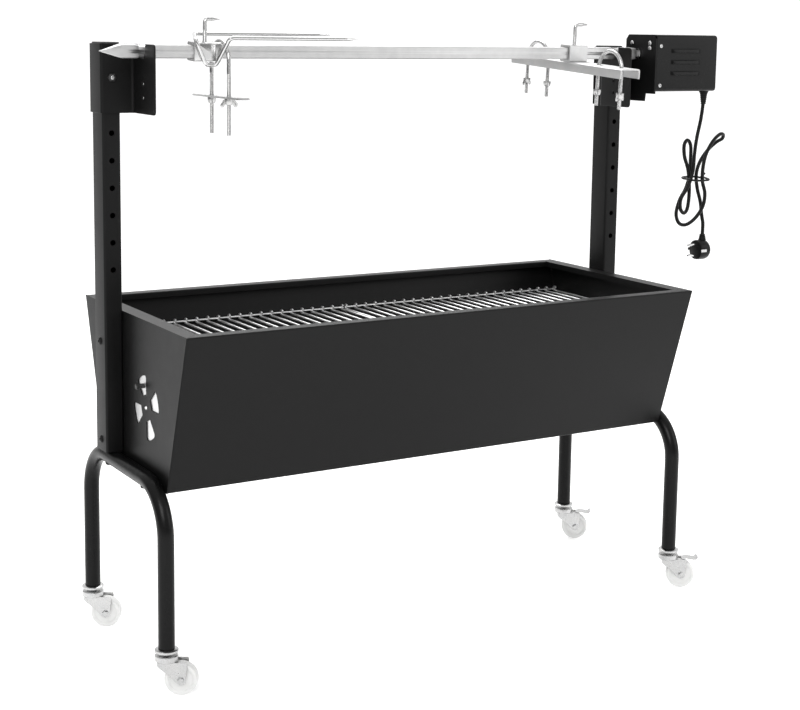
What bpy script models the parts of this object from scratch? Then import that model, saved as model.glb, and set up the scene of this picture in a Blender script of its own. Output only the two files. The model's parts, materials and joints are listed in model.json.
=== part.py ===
"""Rotisserie spit roaster: a charcoal trough on castered legs with a motor-driven spit above it.

Metres, +Z up, X along the trough towards the motor, -Y the side of the user, floor at z = 0.
"""
import math

import bmesh
import bpy
from mathutils import Matrix, Vector

# ---------------------------------------------------------------- driving sizes
GAP = 0.0003                # clearance between neighbouring pieces
RUN_GAP = 0.0005            # clearance between pieces that turn or slide in each other
ROUND = 12                  # sides of small round pieces
ROUND_BIG = 20              # sides of wheels and discs

TROUGH_LENGTH = 0.940
TROUGH_WIDTH = 0.415
RIM_Z = 0.547
TROUGH_BOTTOM_Z = 0.298
WALL_INSET = 0.077          # how far each long wall leans in from rim to bottom
SHEET = 0.0015
RIM_FLANGE = 0.023
RIM_LIP = 0.010

LEFT_OVERHANG = 0.0488      # spit point beyond the trough
RIGHT_OVERHANG = 0.178      # motor cover beyond the trough
TROUGH_LEFT = LEFT_OVERHANG - (TROUGH_LENGTH + LEFT_OVERHANG + RIGHT_OVERHANG) / 2
TROUGH_RIGHT = TROUGH_LEFT + TROUGH_LENGTH
TROUGH_MIDDLE = (TROUGH_LEFT + TROUGH_RIGHT) / 2

VENT_Y = -0.0525            # vent's pivot, in front of the post
VENT_Z = 0.4125
VENT_OUTER = 0.0495
VENT_INNER = 0.021
VENT_HALF_ANGLE = 21.5
VENT_TURN = 68              # degrees from +Y up to the middle of the upper petal
DAMPER_HALF_ANGLE = 22      # narrower than the webs, so the vent can close
KNOB_RADIUS = 0.0045
KNOB_RISE = 0.034           # knob from the vent's pivot
KNOB_REACH = 0.012
DAMPER_RADIUS = 0.0555
DAMPER_SHEET = 0.0012
VENT_PIVOT_RADIUS = 0.003
RIVET_REACH = 0.002

GRATE_Z = 0.492             # top of the cooking grates
GRATE_THICK = 0.005
GRATE_BAR = 0.005
GRATE_BARS = 23

TUBE_RADIUS = 0.0125
TUBE_WALL = 0.0015
LEG_SPREAD = 0.3134         # between the two legs of one frame
LEG_BEND = 0.075
LEG_END_Z = 0.0705

WHEEL_RADIUS = 0.025
WHEEL_WIDTH = 0.018
WHEEL_TRAIL = 0.022
CASTER_YAW = -30.8          # degrees, where the casters point at rest
AXLE_RADIUS = 0.003
CASTER_CAP_RADIUS = 0.018
FORK_HEAD_TOP = 0.062

POST_WIDTH = 0.029
POST_DEPTH = 0.045
POST_WALL = 0.0018
POST_FRONT = 0.0405         # front face of the posts behind the spit axis
POST_TOP = 0.9575
POST_HOLE_TOP = 0.9075
POST_HOLE_STEP = 0.0422
POST_HOLES = 8
POST_HOLE_RADIUS = 0.0042
POST_CORNER = 0.003
POST_CAP_RISE = 0.0035

SPIT_Z = 0.948
SPIT_SIDE = 0.020
SPIT_TURN = 3.5             # degrees the spit stands turned at rest
SPIT_POINT = 0.034
NECK_RADIUS = SPIT_SIDE * 0.495
NECK_LENGTH = 0.020
BAR_PAST_NECK = 0.038       # bar beyond the middle of its right neck
DRIVE_SIDE = 0.011
DRIVE_LENGTH = 0.034

BRACKET_SHEET = 0.0025
BRACKET_HEIGHT = 0.105
BRACKET_TOP = 0.9585
BRACKET_REACH = 0.020       # bracket flange inside the trough's end
FLANGE_FRONT = -0.0465
FLANGE_HOLES = (0.899, 0.878)
FLANGE_HOLE_RADIUS = 0.003

SLEEVE_WALL = 0.004
SLEEVE_SIDE = SPIT_SIDE + 2 * (RUN_GAP + SLEEVE_WALL)
SLEEVE_LENGTH = 0.044
FORK_X = 0.121              # from the trough's left end
PRONG_RADIUS = 0.0034
PRONG_SPREAD = 0.091
PRONG_RISE = 0.024
PRONG_TIP_X = 0.369
PRONG_BEND = 0.006
HANDLE_RADIUS = 0.0034
HANDLE_TOP = 0.050          # clamp screw's bend above the spit axis
HANDLE_ARM = 0.024

U_ROD = 0.0034
SPINE_U_X = 0.1475
SPINE_U_SPAN = 0.064
SPINE_U_DROP = 0.128
SPINE_PLATE_LENGTH = 0.172
SPINE_PLATE_WIDTH = 0.021
SPINE_PLATE_DROP = 0.071
PLATE_THICK = 0.003

LEG_BAR_X = 0.827
LEG_BAR_HALF = 0.160
LEG_BAR_WIDTH = 0.041
LEG_BAR_HEIGHT = 0.0165
LEG_BAR_SHEET = 0.002
LEG_BAR_SLEEVE = 0.038
FOOT_U_Y = 0.105
FOOT_U_SPAN = 0.063
FOOT_U_RISE = 0.030
FOOT_U_DROP = 0.070
FOOT_NUT_DROP = 0.042

MOUNT_SHEET = 0.0025
MOTOR_FRONT = -0.0485
MOTOR_REAR = 0.0355
MOTOR_TOP = 0.982
MOTOR_BOTTOM = 0.881
MOUNT_CORNER = 0.008
MOUNT_FOOT = (0.863, 0.952)    # heights of the mount's part behind the cover
MOUNT_SCREWS = ((-0.032, 0.967), (0.018, 0.967))
MOUNT_SCREW_RADIUS = 0.003
COVER_CORNER = 0.006
LOUVRE_TOPS = (0.9575, 0.9375, 0.9175)
LOUVRE_HEIGHT = 0.0035
LOUVRE_SPAN = (0.034, 0.100)   # from the cover's open end
EXIT_RADIUS = 0.006
COVER_SHEET = 0.0015
GEAR_WIDTH = 0.008
GEAR_TEETH = 24
PINION_TEETH = 8
TOOTH_MODULE = 0.002
HUB_RADIUS = 0.0095

CORD_RADIUS = 0.0033
CORD_Y = -0.030
GLAND_X = 0.570

GRAPHITE = (0.030, 0.030, 0.032, 1)
STEEL = (0.62, 0.62, 0.62, 1)
ZINC = (0.72, 0.72, 0.70, 1)
CHROME = (0.82, 0.82, 0.82, 1)
BLACK = (0.02, 0.02, 0.02, 1)
NYLON = (0.88, 0.88, 0.85, 1)
BRASS = (0.70, 0.55, 0.25, 1)


# ---------------------------------------------------------------- building helpers
def clear_scene():
    """Remove whatever the file holds."""
    for old in list(bpy.data.objects):
        bpy.data.objects.remove(old, do_unlink=True)


def new_collection():
    """The collection the pieces live in."""
    made = bpy.data.collections.new("rotisserie_spit_roaster")
    bpy.context.scene.collection.children.link(made)
    return made


clear_scene()
PIECES = new_collection()


def from_lists(name, points, faces):
    """An object from vertices and faces, with its normals outwards."""
    mesh = bpy.data.meshes.new(name)
    mesh.from_pydata([tuple(p) for p in points], [], faces)
    mesh.validate()
    made = bpy.data.objects.new(name, mesh)
    PIECES.objects.link(made)
    face_outwards(made)
    return made


def face_outwards(thing):
    """Turn the mesh right side out by the sign of its volume."""
    mesh = thing.data
    mesh.calc_loop_triangles()
    volume = 0.0
    for tri in mesh.loop_triangles:
        a, b, c = (mesh.vertices[i].co for i in tri.vertices)
        volume += a.dot(b.cross(c))
    if volume < 0:
        mesh.flip_normals()


def block(name, low, high):
    """A box between two corners."""
    x, y, z = zip(low, high)
    points = [(x[i], y[j], z[k]) for i in (0, 1) for j in (0, 1) for k in (0, 1)]
    faces = [(0, 1, 3, 2), (4, 6, 7, 5), (0, 4, 5, 1), (2, 3, 7, 6), (0, 2, 6, 4), (1, 5, 7, 3)]
    return from_lists(name, points, faces)


def place(axis, a, b, along):
    """A point from two outline coordinates and a third along the axis."""
    if axis == "X":
        return (along, a, b)
    if axis == "Y":
        return (a, along, b)
    return (a, b, along)


def prism(name, outline, axis, low, high):
    """An outline carried straight along an axis; outline in (y, z), (x, z) or (x, y)."""
    count = len(outline)
    points = [place(axis, a, b, low) for a, b in outline]
    points += [place(axis, a, b, high) for a, b in outline]
    faces = [tuple(range(count)), tuple(reversed(range(count, 2 * count)))]
    faces += [(i, i + count, (i + 1) % count + count, (i + 1) % count) for i in range(count)]
    return from_lists(name, points, faces)


def circle(a, b, radius, sides=ROUND, turn=0.0):
    """Points on a circle in a plane."""
    steps = [2 * math.pi * (i + turn) / sides for i in range(sides)]
    return [(a + radius * math.cos(t), b + radius * math.sin(t)) for t in steps]


def rounded_box(low, high, radius, steps=4):
    """Outline of a rectangle with rounded corners."""
    outline = []
    centres = [(high[0] - radius, high[1] - radius, 0), (low[0] + radius, high[1] - radius, 90),
               (low[0] + radius, low[1] + radius, 180), (high[0] - radius, low[1] + radius, 270)]
    for a, b, start in centres:
        for i in range(steps + 1):
            turn = math.radians(start + 90 * i / steps)
            outline.append((a + radius * math.cos(turn), b + radius * math.sin(turn)))
    return outline


def apply_boolean(base, tool, operation):
    """Cut or join a tool into a base and drop the tool."""
    step = base.modifiers.new(operation, "BOOLEAN")
    step.operation = operation
    step.solver = "EXACT"
    step.object = tool
    bpy.context.view_layer.update()
    graph = bpy.context.evaluated_depsgraph_get()
    mesh = bpy.data.meshes.new_from_object(base.evaluated_get(graph))
    base.modifiers.clear()
    base.data = mesh
    bpy.data.objects.remove(tool, do_unlink=True)
    return base


def cut(base, *tools):
    """Take tools away from a base."""
    for tool in tools:
        apply_boolean(base, tool, "DIFFERENCE")
    return base


def join(base, *tools):
    """Weld tools to a base."""
    for tool in tools:
        apply_boolean(base, tool, "UNION")
    return base


def lathe(name, profile, axis, centre, sides=ROUND_BIG, closed=False):
    """Spin (radius, along) points about an axis through a centre; closed profiles make rings."""
    points, rings = [], []
    for radius, along in profile:
        ring = []
        count = 1 if radius == 0 else sides
        for i in range(count):
            turn = 2 * math.pi * i / sides
            ring.append(len(points))
            spot = place(axis, radius * math.cos(turn), radius * math.sin(turn), along)
            points.append(Vector(spot) + Vector(centre))
        rings.append(ring)
    pairs = list(zip(rings, rings[1:]))
    if closed:
        pairs.append((rings[-1], rings[0]))
    faces = []
    for first, second in pairs:
        for i in range(sides):
            j = (i + 1) % sides
            face = [first[i % len(first)], first[j % len(first)]]
            face += [second[j % len(second)], second[i % len(second)]]
            faces.append(tuple(dict.fromkeys(face)))
    return from_lists(name, points, faces)


def disc(name, axis, centre, radius, low, high, sides=ROUND):
    """A plain cylinder along an axis."""
    profile = [(0, low), (radius, low), (radius, high), (0, high)]
    return lathe(name, profile, axis, centre, sides)


def washer(name, axis, centre, inner, outer, low, high, sides=ROUND):
    """A plain ring along an axis."""
    profile = [(inner, low), (outer, low), (outer, high), (inner, high)]
    return lathe(name, profile, axis, centre, sides, closed=True)


def tube_mesh(name, points, radius, detail=2):
    """A round rod along points, as a mesh with closed ends."""
    line = bpy.data.curves.new(name, "CURVE")
    line.dimensions = "3D"
    line.bevel_depth = radius
    line.bevel_resolution = detail
    line.use_fill_caps = True
    line.resolution_u = 1
    spline = line.splines.new("POLY")
    spline.points.add(len(points) - 1)
    for slot, point in zip(spline.points, points):
        slot.co = (*point, 1)
    return curve_to_mesh(name, line)


def flat_sheet(name, outlines, axis, low, high):
    """An outline with holes, carried along an axis; the first outline is the outer one."""
    line = bpy.data.curves.new(name, "CURVE")
    line.dimensions = "2D"
    line.fill_mode = "BOTH"
    line.extrude = abs(high - low) / 2
    for outline in outlines:
        spline = line.splines.new("POLY")
        spline.use_cyclic_u = True
        spline.points.add(len(outline) - 1)
        for slot, point in zip(spline.points, outline):
            slot.co = (point[0], point[1], 0, 1)
    made = curve_to_mesh(name, line)
    middle = (low + high) / 2
    for vertex in made.data.vertices:
        a, b, along = vertex.co
        vertex.co = place(axis, a, b, along + middle)
    face_outwards(made)
    return made


def curve_to_mesh(name, line):
    """Turn a curve into a welded mesh object."""
    helper = bpy.data.objects.new(name, line)
    PIECES.objects.link(helper)
    bpy.context.view_layer.update()
    graph = bpy.context.evaluated_depsgraph_get()
    mesh = bpy.data.meshes.new_from_object(helper.evaluated_get(graph))
    bpy.data.objects.remove(helper, do_unlink=True)
    made = bpy.data.objects.new(name, mesh)
    PIECES.objects.link(made)
    weld_doubles(made)
    face_outwards(made)
    return made


def weld_doubles(thing):
    """Merge vertices that sit on each other."""
    shell = bmesh.new()
    shell.from_mesh(thing.data)
    bmesh.ops.remove_doubles(shell, verts=shell.verts, dist=1e-6)
    shell.to_mesh(thing.data)
    shell.free()


def arc_path(corners, radius, steps=5):
    """A path through corners with each inner corner rounded to a radius."""
    path = [Vector(corners[0])]
    for before, corner, after in zip(corners, corners[1:], corners[2:]):
        corner = Vector(corner)
        back = (Vector(before) - corner).normalized()
        ahead = (Vector(after) - corner).normalized()
        half = back.angle(ahead) / 2
        reach = radius / math.tan(half)
        centre = corner + (back + ahead).normalized() * radius / math.sin(half)
        start = (corner + back * reach - centre).normalized()
        last = (corner + ahead * reach - centre).normalized()
        path += [centre + start.slerp(last, i / steps) * radius for i in range(steps + 1)]
    path.append(Vector(corners[-1]))
    return path


def shift_line(line, distance):
    """An open line of (a, b) points moved sideways to its left, keeping its corners square."""
    moved = []
    for i, point in enumerate(line):
        here = Vector(point)
        into = (here - Vector(line[i - 1])).normalized() if i > 0 else None
        out = (Vector(line[i + 1]) - here).normalized() if i + 1 < len(line) else None
        into = out if into is None else into
        out = into if out is None else out
        left_in = Vector((-into.y, into.x))
        left_out = Vector((-out.y, out.x))
        bisector = (left_in + left_out).normalized()
        moved.append(tuple(here + bisector * distance / bisector.dot(left_in)))
    return moved


def rod_outline(line, thickness):
    """Closed outline of a folded sheet seen edge-on."""
    return list(line) + list(reversed(shift_line(line, thickness)))


def spit_turned(thing):
    """Turn a piece about the spit axis to its rest position."""
    swing = Matrix.Translation((0, 0, SPIT_Z)) @ Matrix.Rotation(math.radians(SPIT_TURN), 4, "X")
    thing.data.transform(swing @ Matrix.Translation((0, 0, -SPIT_Z)))
    return thing


def material(name, colour, metallic, roughness):
    """A plain shader with a colour, metalness and roughness."""
    made = bpy.data.materials.new(name)
    made.use_nodes = True
    shader = made.node_tree.nodes["Principled BSDF"]
    shader.inputs["Base Color"].default_value = colour
    shader.inputs["Metallic"].default_value = metallic
    shader.inputs["Roughness"].default_value = roughness
    return made


FINISHES = {"paint": (GRAPHITE, 0.0, 0.55), "steel": (STEEL, 1.0, 0.32), "zinc": (ZINC, 1.0, 0.28),
            "chrome": (CHROME, 1.0, 0.14), "plastic": (BLACK, 0.0, 0.5), "nylon": (NYLON, 0.0, 0.4),
            "brass": (BRASS, 1.0, 0.35)}


def finish(thing, look, origin=(0, 0, 0)):
    """Give a piece its material, smooth shading and an origin on its joint axis."""
    mesh = thing.data
    mesh.materials.clear()
    mesh.materials.append(material(thing.name + "_" + look, *FINISHES[look]))
    for face in mesh.polygons:
        face.use_smooth = True
        face.material_index = 0
    mesh.set_sharp_from_angle(angle=math.radians(38))
    mesh.transform(Matrix.Translation(-Vector(origin)))
    thing.location = origin
    return thing


# ---------------------------------------------------------------- trough
def wall_y(z):
    """Half width of the outside of the trough at a height."""
    share = (RIM_Z - z) / (RIM_Z - TROUGH_BOTTOM_Z)
    return TROUGH_WIDTH / 2 - WALL_INSET * share


def trough_shell():
    """One folded sheet: lips, rim flanges, leaning walls and bottom, mitred at the rim's corners."""
    half, foot = TROUGH_WIDTH / 2, TROUGH_WIDTH / 2 - WALL_INSET
    line = [(half - RIM_FLANGE, RIM_Z - RIM_LIP), (half - RIM_FLANGE, RIM_Z), (half, RIM_Z),
            (foot, TROUGH_BOTTOM_Z), (-foot, TROUGH_BOTTOM_Z), (-half, RIM_Z),
            (RIM_FLANGE - half, RIM_Z), (RIM_FLANGE - half, RIM_Z - RIM_LIP)]
    line = list(reversed(line))
    inner = shift_line(line, SHEET)
    base = SHEET + GAP
    insets = [RIM_FLANGE, RIM_FLANGE, 0, 0, 0, 0, RIM_FLANGE, RIM_FLANGE]
    inner_insets = [max(inset - SHEET, 0) for inset in insets]
    rows = list(zip(line, insets)) + list(zip(inner, inner_insets))
    points = [(TROUGH_LEFT + base + inset, y, z) for (y, z), inset in rows]
    points += [(TROUGH_RIGHT - base - inset, y, z) for (y, z), inset in rows]
    count = len(line)
    other = 2 * count
    faces = []
    for i in range(count - 1):
        a, b, c, d = i, i + 1, i + 1 + count, i + count
        faces.append((a, b, c, d))
        faces.append((a + other, d + other, c + other, b + other))
        faces.append((a, a + other, b + other, b))
        faces.append((d, c, c + other, d + other))
    faces.append((0, count, count + other, other))
    faces.append((count - 1, count - 1 + other, other + other - 1, other - 1))
    return finish(from_lists("trough_shell", points, faces), "paint")


def vent_petal(outer, inner, middle_angle, half_angle):
    """Outline of one vent opening, a sector with a rounded outer end, in (y, z)."""
    outline = []
    for share in (-1, -0.5, 0, 0.5, 1):
        turn = math.radians(middle_angle + half_angle * share)
        outline.append((VENT_Y + outer * math.cos(turn), VENT_Z + outer * math.sin(turn)))
    for share in (1, -1):
        turn = math.radians(middle_angle + half_angle * share)
        outline.append((VENT_Y + inner * math.cos(turn), VENT_Z + inner * math.sin(turn)))
    return outline


def petals(half_angle, start):
    """Four openings, turned by start degrees from the end sheet's."""
    middles = [VENT_TURN + start + turn for turn in (0, 90, 180, 270)]
    return [vent_petal(VENT_OUTER, VENT_INNER, middle, half_angle) for middle in middles]


def end_plate(name, outside, inward):
    """Upright end sheet with a vent, a rim flange and a lip; inward is the sign towards the middle."""
    half, foot = TROUGH_WIDTH / 2, TROUGH_WIDTH / 2 - WALL_INSET
    outline = [(-half, RIM_Z), (half, RIM_Z), (foot, TROUGH_BOTTOM_Z), (-foot, TROUGH_BOTTOM_Z)]
    pivot = circle(VENT_Y, VENT_Z, VENT_PIVOT_RADIUS + RUN_GAP, 12)
    plate = flat_sheet(name, [outline, pivot] + petals(VENT_HALF_ANGLE, 0), "X",
                       min(outside, outside + inward * SHEET), max(outside, outside + inward * SHEET))
    return finish(join(plate, rim_piece(outside, inward)), "paint")


def rim_piece(outside, inward):
    """Mitred flange and lip along an end of the rim."""
    half = TROUGH_WIDTH / 2
    near = outside + inward * SHEET * 0.4
    far = outside + inward * (SHEET + GAP + RIM_FLANGE)
    wide = half - 1.6 * SHEET
    narrow = half - RIM_FLANGE - GAP
    flange = prism("flange", [(near, -wide), (far, -narrow), (far, narrow), (near, wide)], "Z",
                   RIM_Z - SHEET, RIM_Z)
    edge = sorted((far, far - inward * SHEET))
    lip = block("lip", (edge[0], -narrow, RIM_Z - RIM_LIP), (edge[1], narrow, RIM_Z - SHEET * 0.4))
    return join(flange, lip)


def vent_damper(name, outside, inward):
    """Round plate closing the vent, its openings behind the webs, with a knob through the upper petal."""
    near = outside + inward * (SHEET + GAP)
    far = near + inward * DAMPER_SHEET
    rim = circle(VENT_Y, VENT_Z, DAMPER_RADIUS, 32)
    openings = petals(DAMPER_HALF_ANGLE, 45)
    plate = flat_sheet(name, [rim] + openings, "X", min(near, far), max(near, far))
    middle = (near + far) / 2
    tips = ((KNOB_RADIUS, KNOB_RISE, KNOB_REACH), (VENT_PIVOT_RADIUS, 0, RIVET_REACH))
    turn = math.radians(VENT_TURN)
    for radius, rise, reach in tips:
        ends = sorted((middle, outside - inward * reach))
        place = (0, VENT_Y + rise * math.cos(turn), VENT_Z + rise * math.sin(turn))
        join(plate, disc("stub", "X", place, radius, *ends, 12))
    return finish(plate, "zinc", (near, VENT_Y, VENT_Z))


def cooking_grate(name, start):
    """Grate of bars across the trough, one plate with slots between its bars."""
    length = TROUGH_LENGTH / 2 - SHEET - 3 * GAP
    half = wall_y(GRATE_Z - GRATE_THICK) - SHEET * 1.2 - RUN_GAP * 2
    outline = [(start, -half), (start + length, -half), (start + length, half), (start, half)]
    pitch = (length - GRATE_BAR) / GRATE_BARS
    slots = []
    for i in range(GRATE_BARS):
        left = start + GRATE_BAR + i * pitch
        right = start + (i + 1) * pitch
        low, high = GRATE_BAR - half, half - GRATE_BAR
        slots.append([(left, low), (right, low), (right, high), (left, high)])
    made = flat_sheet(name, [outline] + slots, "Z", GRATE_Z - GRATE_THICK, GRATE_Z)
    return finish(made, "chrome")


# ---------------------------------------------------------------- legs and casters
def leg_x(side):
    """X of a leg frame's tubes; side is -1 for the left end and 1 for the motor end."""
    return TROUGH_MIDDLE + side * (TROUGH_LENGTH / 2 + GAP + TUBE_RADIUS)


def leg_frame(name, side):
    """Bent tube: two legs and the bar under the post, hollow at both feet."""
    x, y = leg_x(side), LEG_SPREAD / 2
    bar_z = TROUGH_BOTTOM_Z + TUBE_RADIUS
    def course(end):
        return arc_path([(x, -y, end), (x, -y, bar_z), (x, y, bar_z), (x, y, end)], LEG_BEND, 5)
    outer = tube_mesh(name, course(LEG_END_Z), TUBE_RADIUS, 2)
    inner = tube_mesh("bore", course(LEG_END_Z - TUBE_RADIUS), TUBE_RADIUS - TUBE_WALL, 2)
    return finish(cut(outer, inner), "paint")


def caster_frame(side, depth):
    """Matrix placing a caster under one leg; the caster is built about its own stem, trailing +X."""
    spot = Matrix.Translation((leg_x(side), depth * LEG_SPREAD / 2, 0))
    return spot @ Matrix.Rotation(math.radians(CASTER_YAW), 4, "Z")


def set_down(thing, matrix, look, origin):
    """Move a piece built in its own frame into place and finish it."""
    thing.data.transform(matrix)
    return finish(thing, look, tuple(matrix @ Vector(origin)))


def caster_stem(name, matrix):
    """Plug in the leg's foot with the raceway cap under it."""
    plug = TUBE_RADIUS - TUBE_WALL - 2 * RUN_GAP
    profile = [(0, LEG_END_Z + 0.022), (plug, LEG_END_Z + 0.022), (plug, LEG_END_Z - GAP),
               (CASTER_CAP_RADIUS, LEG_END_Z - GAP - 0.0005), (CASTER_CAP_RADIUS, LEG_END_Z - 0.0055),
               (0.004, LEG_END_Z - 0.0055), (0.004, 0.0545), (0, 0.0545)]
    return set_down(lathe(name, profile, "Z", (0, 0, 0), ROUND), matrix, "zinc", (0, 0, LEG_END_Z))


def caster_fork(name, matrix):
    """Swivelling fork: a round head and two cheeks with the axle holes."""
    half = WHEEL_WIDTH / 2 + 0.0015
    cheek = [(-0.013, 0.0525), (0.0310, 0.0525), (0.0320, 0.0490), (WHEEL_TRAIL + 0.008, 0.031),
             (WHEEL_TRAIL + 0.006, 0.0185), (WHEEL_TRAIL - 0.006, 0.0185), (0.006, 0.032), (-0.013, 0.0465)]
    hole = circle(WHEEL_TRAIL, WHEEL_RADIUS, AXLE_RADIUS + 2 * GAP, 8)
    left = flat_sheet(name, [cheek, hole], "Y", half, half + 0.002)
    right = flat_sheet("cheek", [cheek, hole], "Y", -half - 0.002, -half)
    crown = block("crown", (-0.013, -half - 0.001, 0.0505), (0.0135, half + 0.001, 0.0528))
    head = washer("head", "Z", (0, 0, 0), 0.004 + RUN_GAP, CASTER_CAP_RADIUS, 0.0517,
                  FORK_HEAD_TOP, ROUND)
    eye = disc("eye", "Z", (0, 0, 0), 0.004 + RUN_GAP, 0.049, 0.056, ROUND)
    made = cut(join(left, right, crown, head), eye)
    return set_down(made, matrix, "zinc", (0, 0, LEG_END_Z))


def caster_wheel(name, matrix):
    """Wheel with a crowned tread, dished sides and an axle bore."""
    half = WHEEL_WIDTH / 2
    bore = AXLE_RADIUS + 2 * GAP
    profile = [(bore, -half - 0.0008), (0.008, -half - 0.0008), (0.009, 0.002 - half),
               (0.018, 0.002 - half), (0.020, -half), (WHEEL_RADIUS, 0.001 - half),
               (WHEEL_RADIUS, half - 0.001), (0.020, half), (0.018, half - 0.002),
               (0.009, half - 0.002), (0.008, half + 0.0008), (bore, half + 0.0008)]
    centre = (WHEEL_TRAIL, 0, WHEEL_RADIUS)
    made = lathe(name, profile, "Y", centre, ROUND_BIG, closed=True)
    return set_down(made, matrix, "nylon", centre)


def caster_axle(name, matrix):
    """Bolt through the fork with a head and a nut."""
    half = WHEEL_WIDTH / 2 + 0.0035 + GAP
    profile = [(0, -half - 0.003), (0.005, -half - 0.003), (0.005, -half), (AXLE_RADIUS, -half),
               (AXLE_RADIUS, half), (0.005, half), (0.005, half + 0.003), (0, half + 0.003)]
    centre = (WHEEL_TRAIL, 0, WHEEL_RADIUS)
    return set_down(lathe(name, profile, "Y", centre, 8), matrix, "zinc", centre)


def brake_pedal(name, matrix):
    """Foot tab over the trailing side of a braked wheel, hinged between the fork's cheeks."""
    half = WHEEL_WIDTH / 2 + 0.0015 - RUN_GAP
    outline = [(0.0265, 0.0505), (0.0330, 0.0525), (0.0485, 0.0505), (0.0535, 0.0562), (0.0520, 0.0575),
               (0.0478, 0.0528), (0.0335, 0.0550), (0.0225, 0.0535)]
    made = prism(name, outline, "Y", -half, half)
    return set_down(made, matrix, "zinc", (0.0255, 0, 0.0520))


# ---------------------------------------------------------------- posts and brackets
def post_span(side):
    """Low and high X of a post."""
    near = TROUGH_MIDDLE + side * (TROUGH_LENGTH / 2 + GAP)
    far = near + side * POST_WIDTH
    return min(near, far), max(near, far)


def post_hole_heights():
    """Heights of the row of adjusting holes."""
    return [POST_HOLE_TOP - POST_HOLE_STEP * i for i in range(POST_HOLES)]


def post(name, side):
    """Square tube standing on the leg frame, with a row of holes through its front."""
    low, high = post_span(side)
    foot = TROUGH_BOTTOM_Z + 2 * TUBE_RADIUS + GAP
    back = POST_FRONT + POST_DEPTH
    outline = rounded_box((low, POST_FRONT), (high, back), POST_CORNER, 2)
    hollow = rounded_box((low + POST_WALL, POST_FRONT + POST_WALL), (high - POST_WALL, back - POST_WALL),
                         POST_CORNER / 2, 2)
    made = flat_sheet(name, [outline, hollow], "Z", foot, POST_TOP)
    middle = (low + high) / 2
    drills = [disc("drill", "Y", (middle, 0, z), POST_HOLE_RADIUS, POST_FRONT - POST_WALL,
                   POST_FRONT + 2 * POST_WALL, 8) for z in post_hole_heights()]
    return finish(cut(made, *drills), "paint")


def post_cap(name, side):
    """Plastic plug closing the top of a post."""
    low, high = post_span(side)
    back = POST_FRONT + POST_DEPTH
    top = rounded_box((low, POST_FRONT), (high, back), POST_CORNER, 2)
    inset = POST_WALL + RUN_GAP
    plug = rounded_box((low + inset, POST_FRONT + inset), (high - inset, back - inset), 0.001, 1)
    made = prism(name, top, "Z", POST_TOP + GAP, POST_TOP + POST_CAP_RISE)
    return finish(join(made, prism("plug", plug, "Z", POST_TOP - 0.012, POST_TOP + 0.001)), "plastic")


def spit_bracket(name, side):
    """Folded sleeve round a post with a forward flange whose notch carries the spit's neck."""
    sheet = BRACKET_SHEET
    low, high = post_span(side)
    inner, outer = (high, low) if side < 0 else (low, high)
    out_face = outer + side * (GAP + sheet)
    back = POST_FRONT + POST_DEPTH + GAP + sheet
    front = POST_FRONT - GAP - sheet
    flange = TROUGH_MIDDLE + side * (TROUGH_LENGTH / 2 - BRACKET_REACH)
    line = [(inner, back), (out_face, back), (out_face, front), (flange, front), (flange, FLANGE_FRONT)]
    outline = rod_outline(line, -side * sheet)
    made = prism(name, outline, "Z", BRACKET_TOP - BRACKET_HEIGHT, BRACKET_TOP)
    through = (flange - 2 * sheet, flange + 2 * sheet)
    wide = NECK_RADIUS + RUN_GAP
    slot = [(-wide, BRACKET_TOP + sheet), (-wide, SPIT_Z)]
    slot += [(wide * math.cos(t), SPIT_Z + wide * math.sin(t))
             for t in (math.radians(180 + 180 * i / 10) for i in range(1, 10))]
    slot += [(wide, SPIT_Z), (wide, BRACKET_TOP + sheet)]
    tools = [prism("notch", slot, "X", *through)]
    tools += [disc("hole", "X", (0, 0, z), FLANGE_HOLE_RADIUS, *through, 12) for z in FLANGE_HOLES]
    middle = (low + high) / 2
    tools.append(disc("hole", "Y", (middle, 0, POST_HOLE_TOP), POST_HOLE_RADIUS, front - sheet,
                      front + 2 * sheet, 12))
    return finish(cut(made, *tools), "paint")


def bracket_bolt(name, side):
    """Clamp bolt in a bracket, its end at the post's face in front of a hole."""
    low, high = post_span(side)
    seat = POST_FRONT - GAP - BRACKET_SHEET - GAP
    shank = POST_HOLE_RADIUS - RUN_GAP
    centre = ((low + high) / 2, 0, POST_HOLE_TOP)
    profile = [(0, seat - 0.005), (0.0055, seat - 0.005), (0.0065, seat - 0.004), (0.0065, seat),
               (shank, seat), (shank, POST_FRONT - GAP), (0, POST_FRONT - GAP)]
    return finish(lathe(name, profile, "Y", centre, ROUND), "zinc", (centre[0], seat, centre[2]))


# ---------------------------------------------------------------- spit and its clamps
def spit_square(radius_share, x):
    """Four corner points of the bar's section at an X, scaled."""
    reach = SPIT_SIDE / 2 * radius_share
    return [(x, a * reach, SPIT_Z + b * reach) for a, b in ((-1, -1), (1, -1), (1, 1), (-1, 1))]


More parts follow.
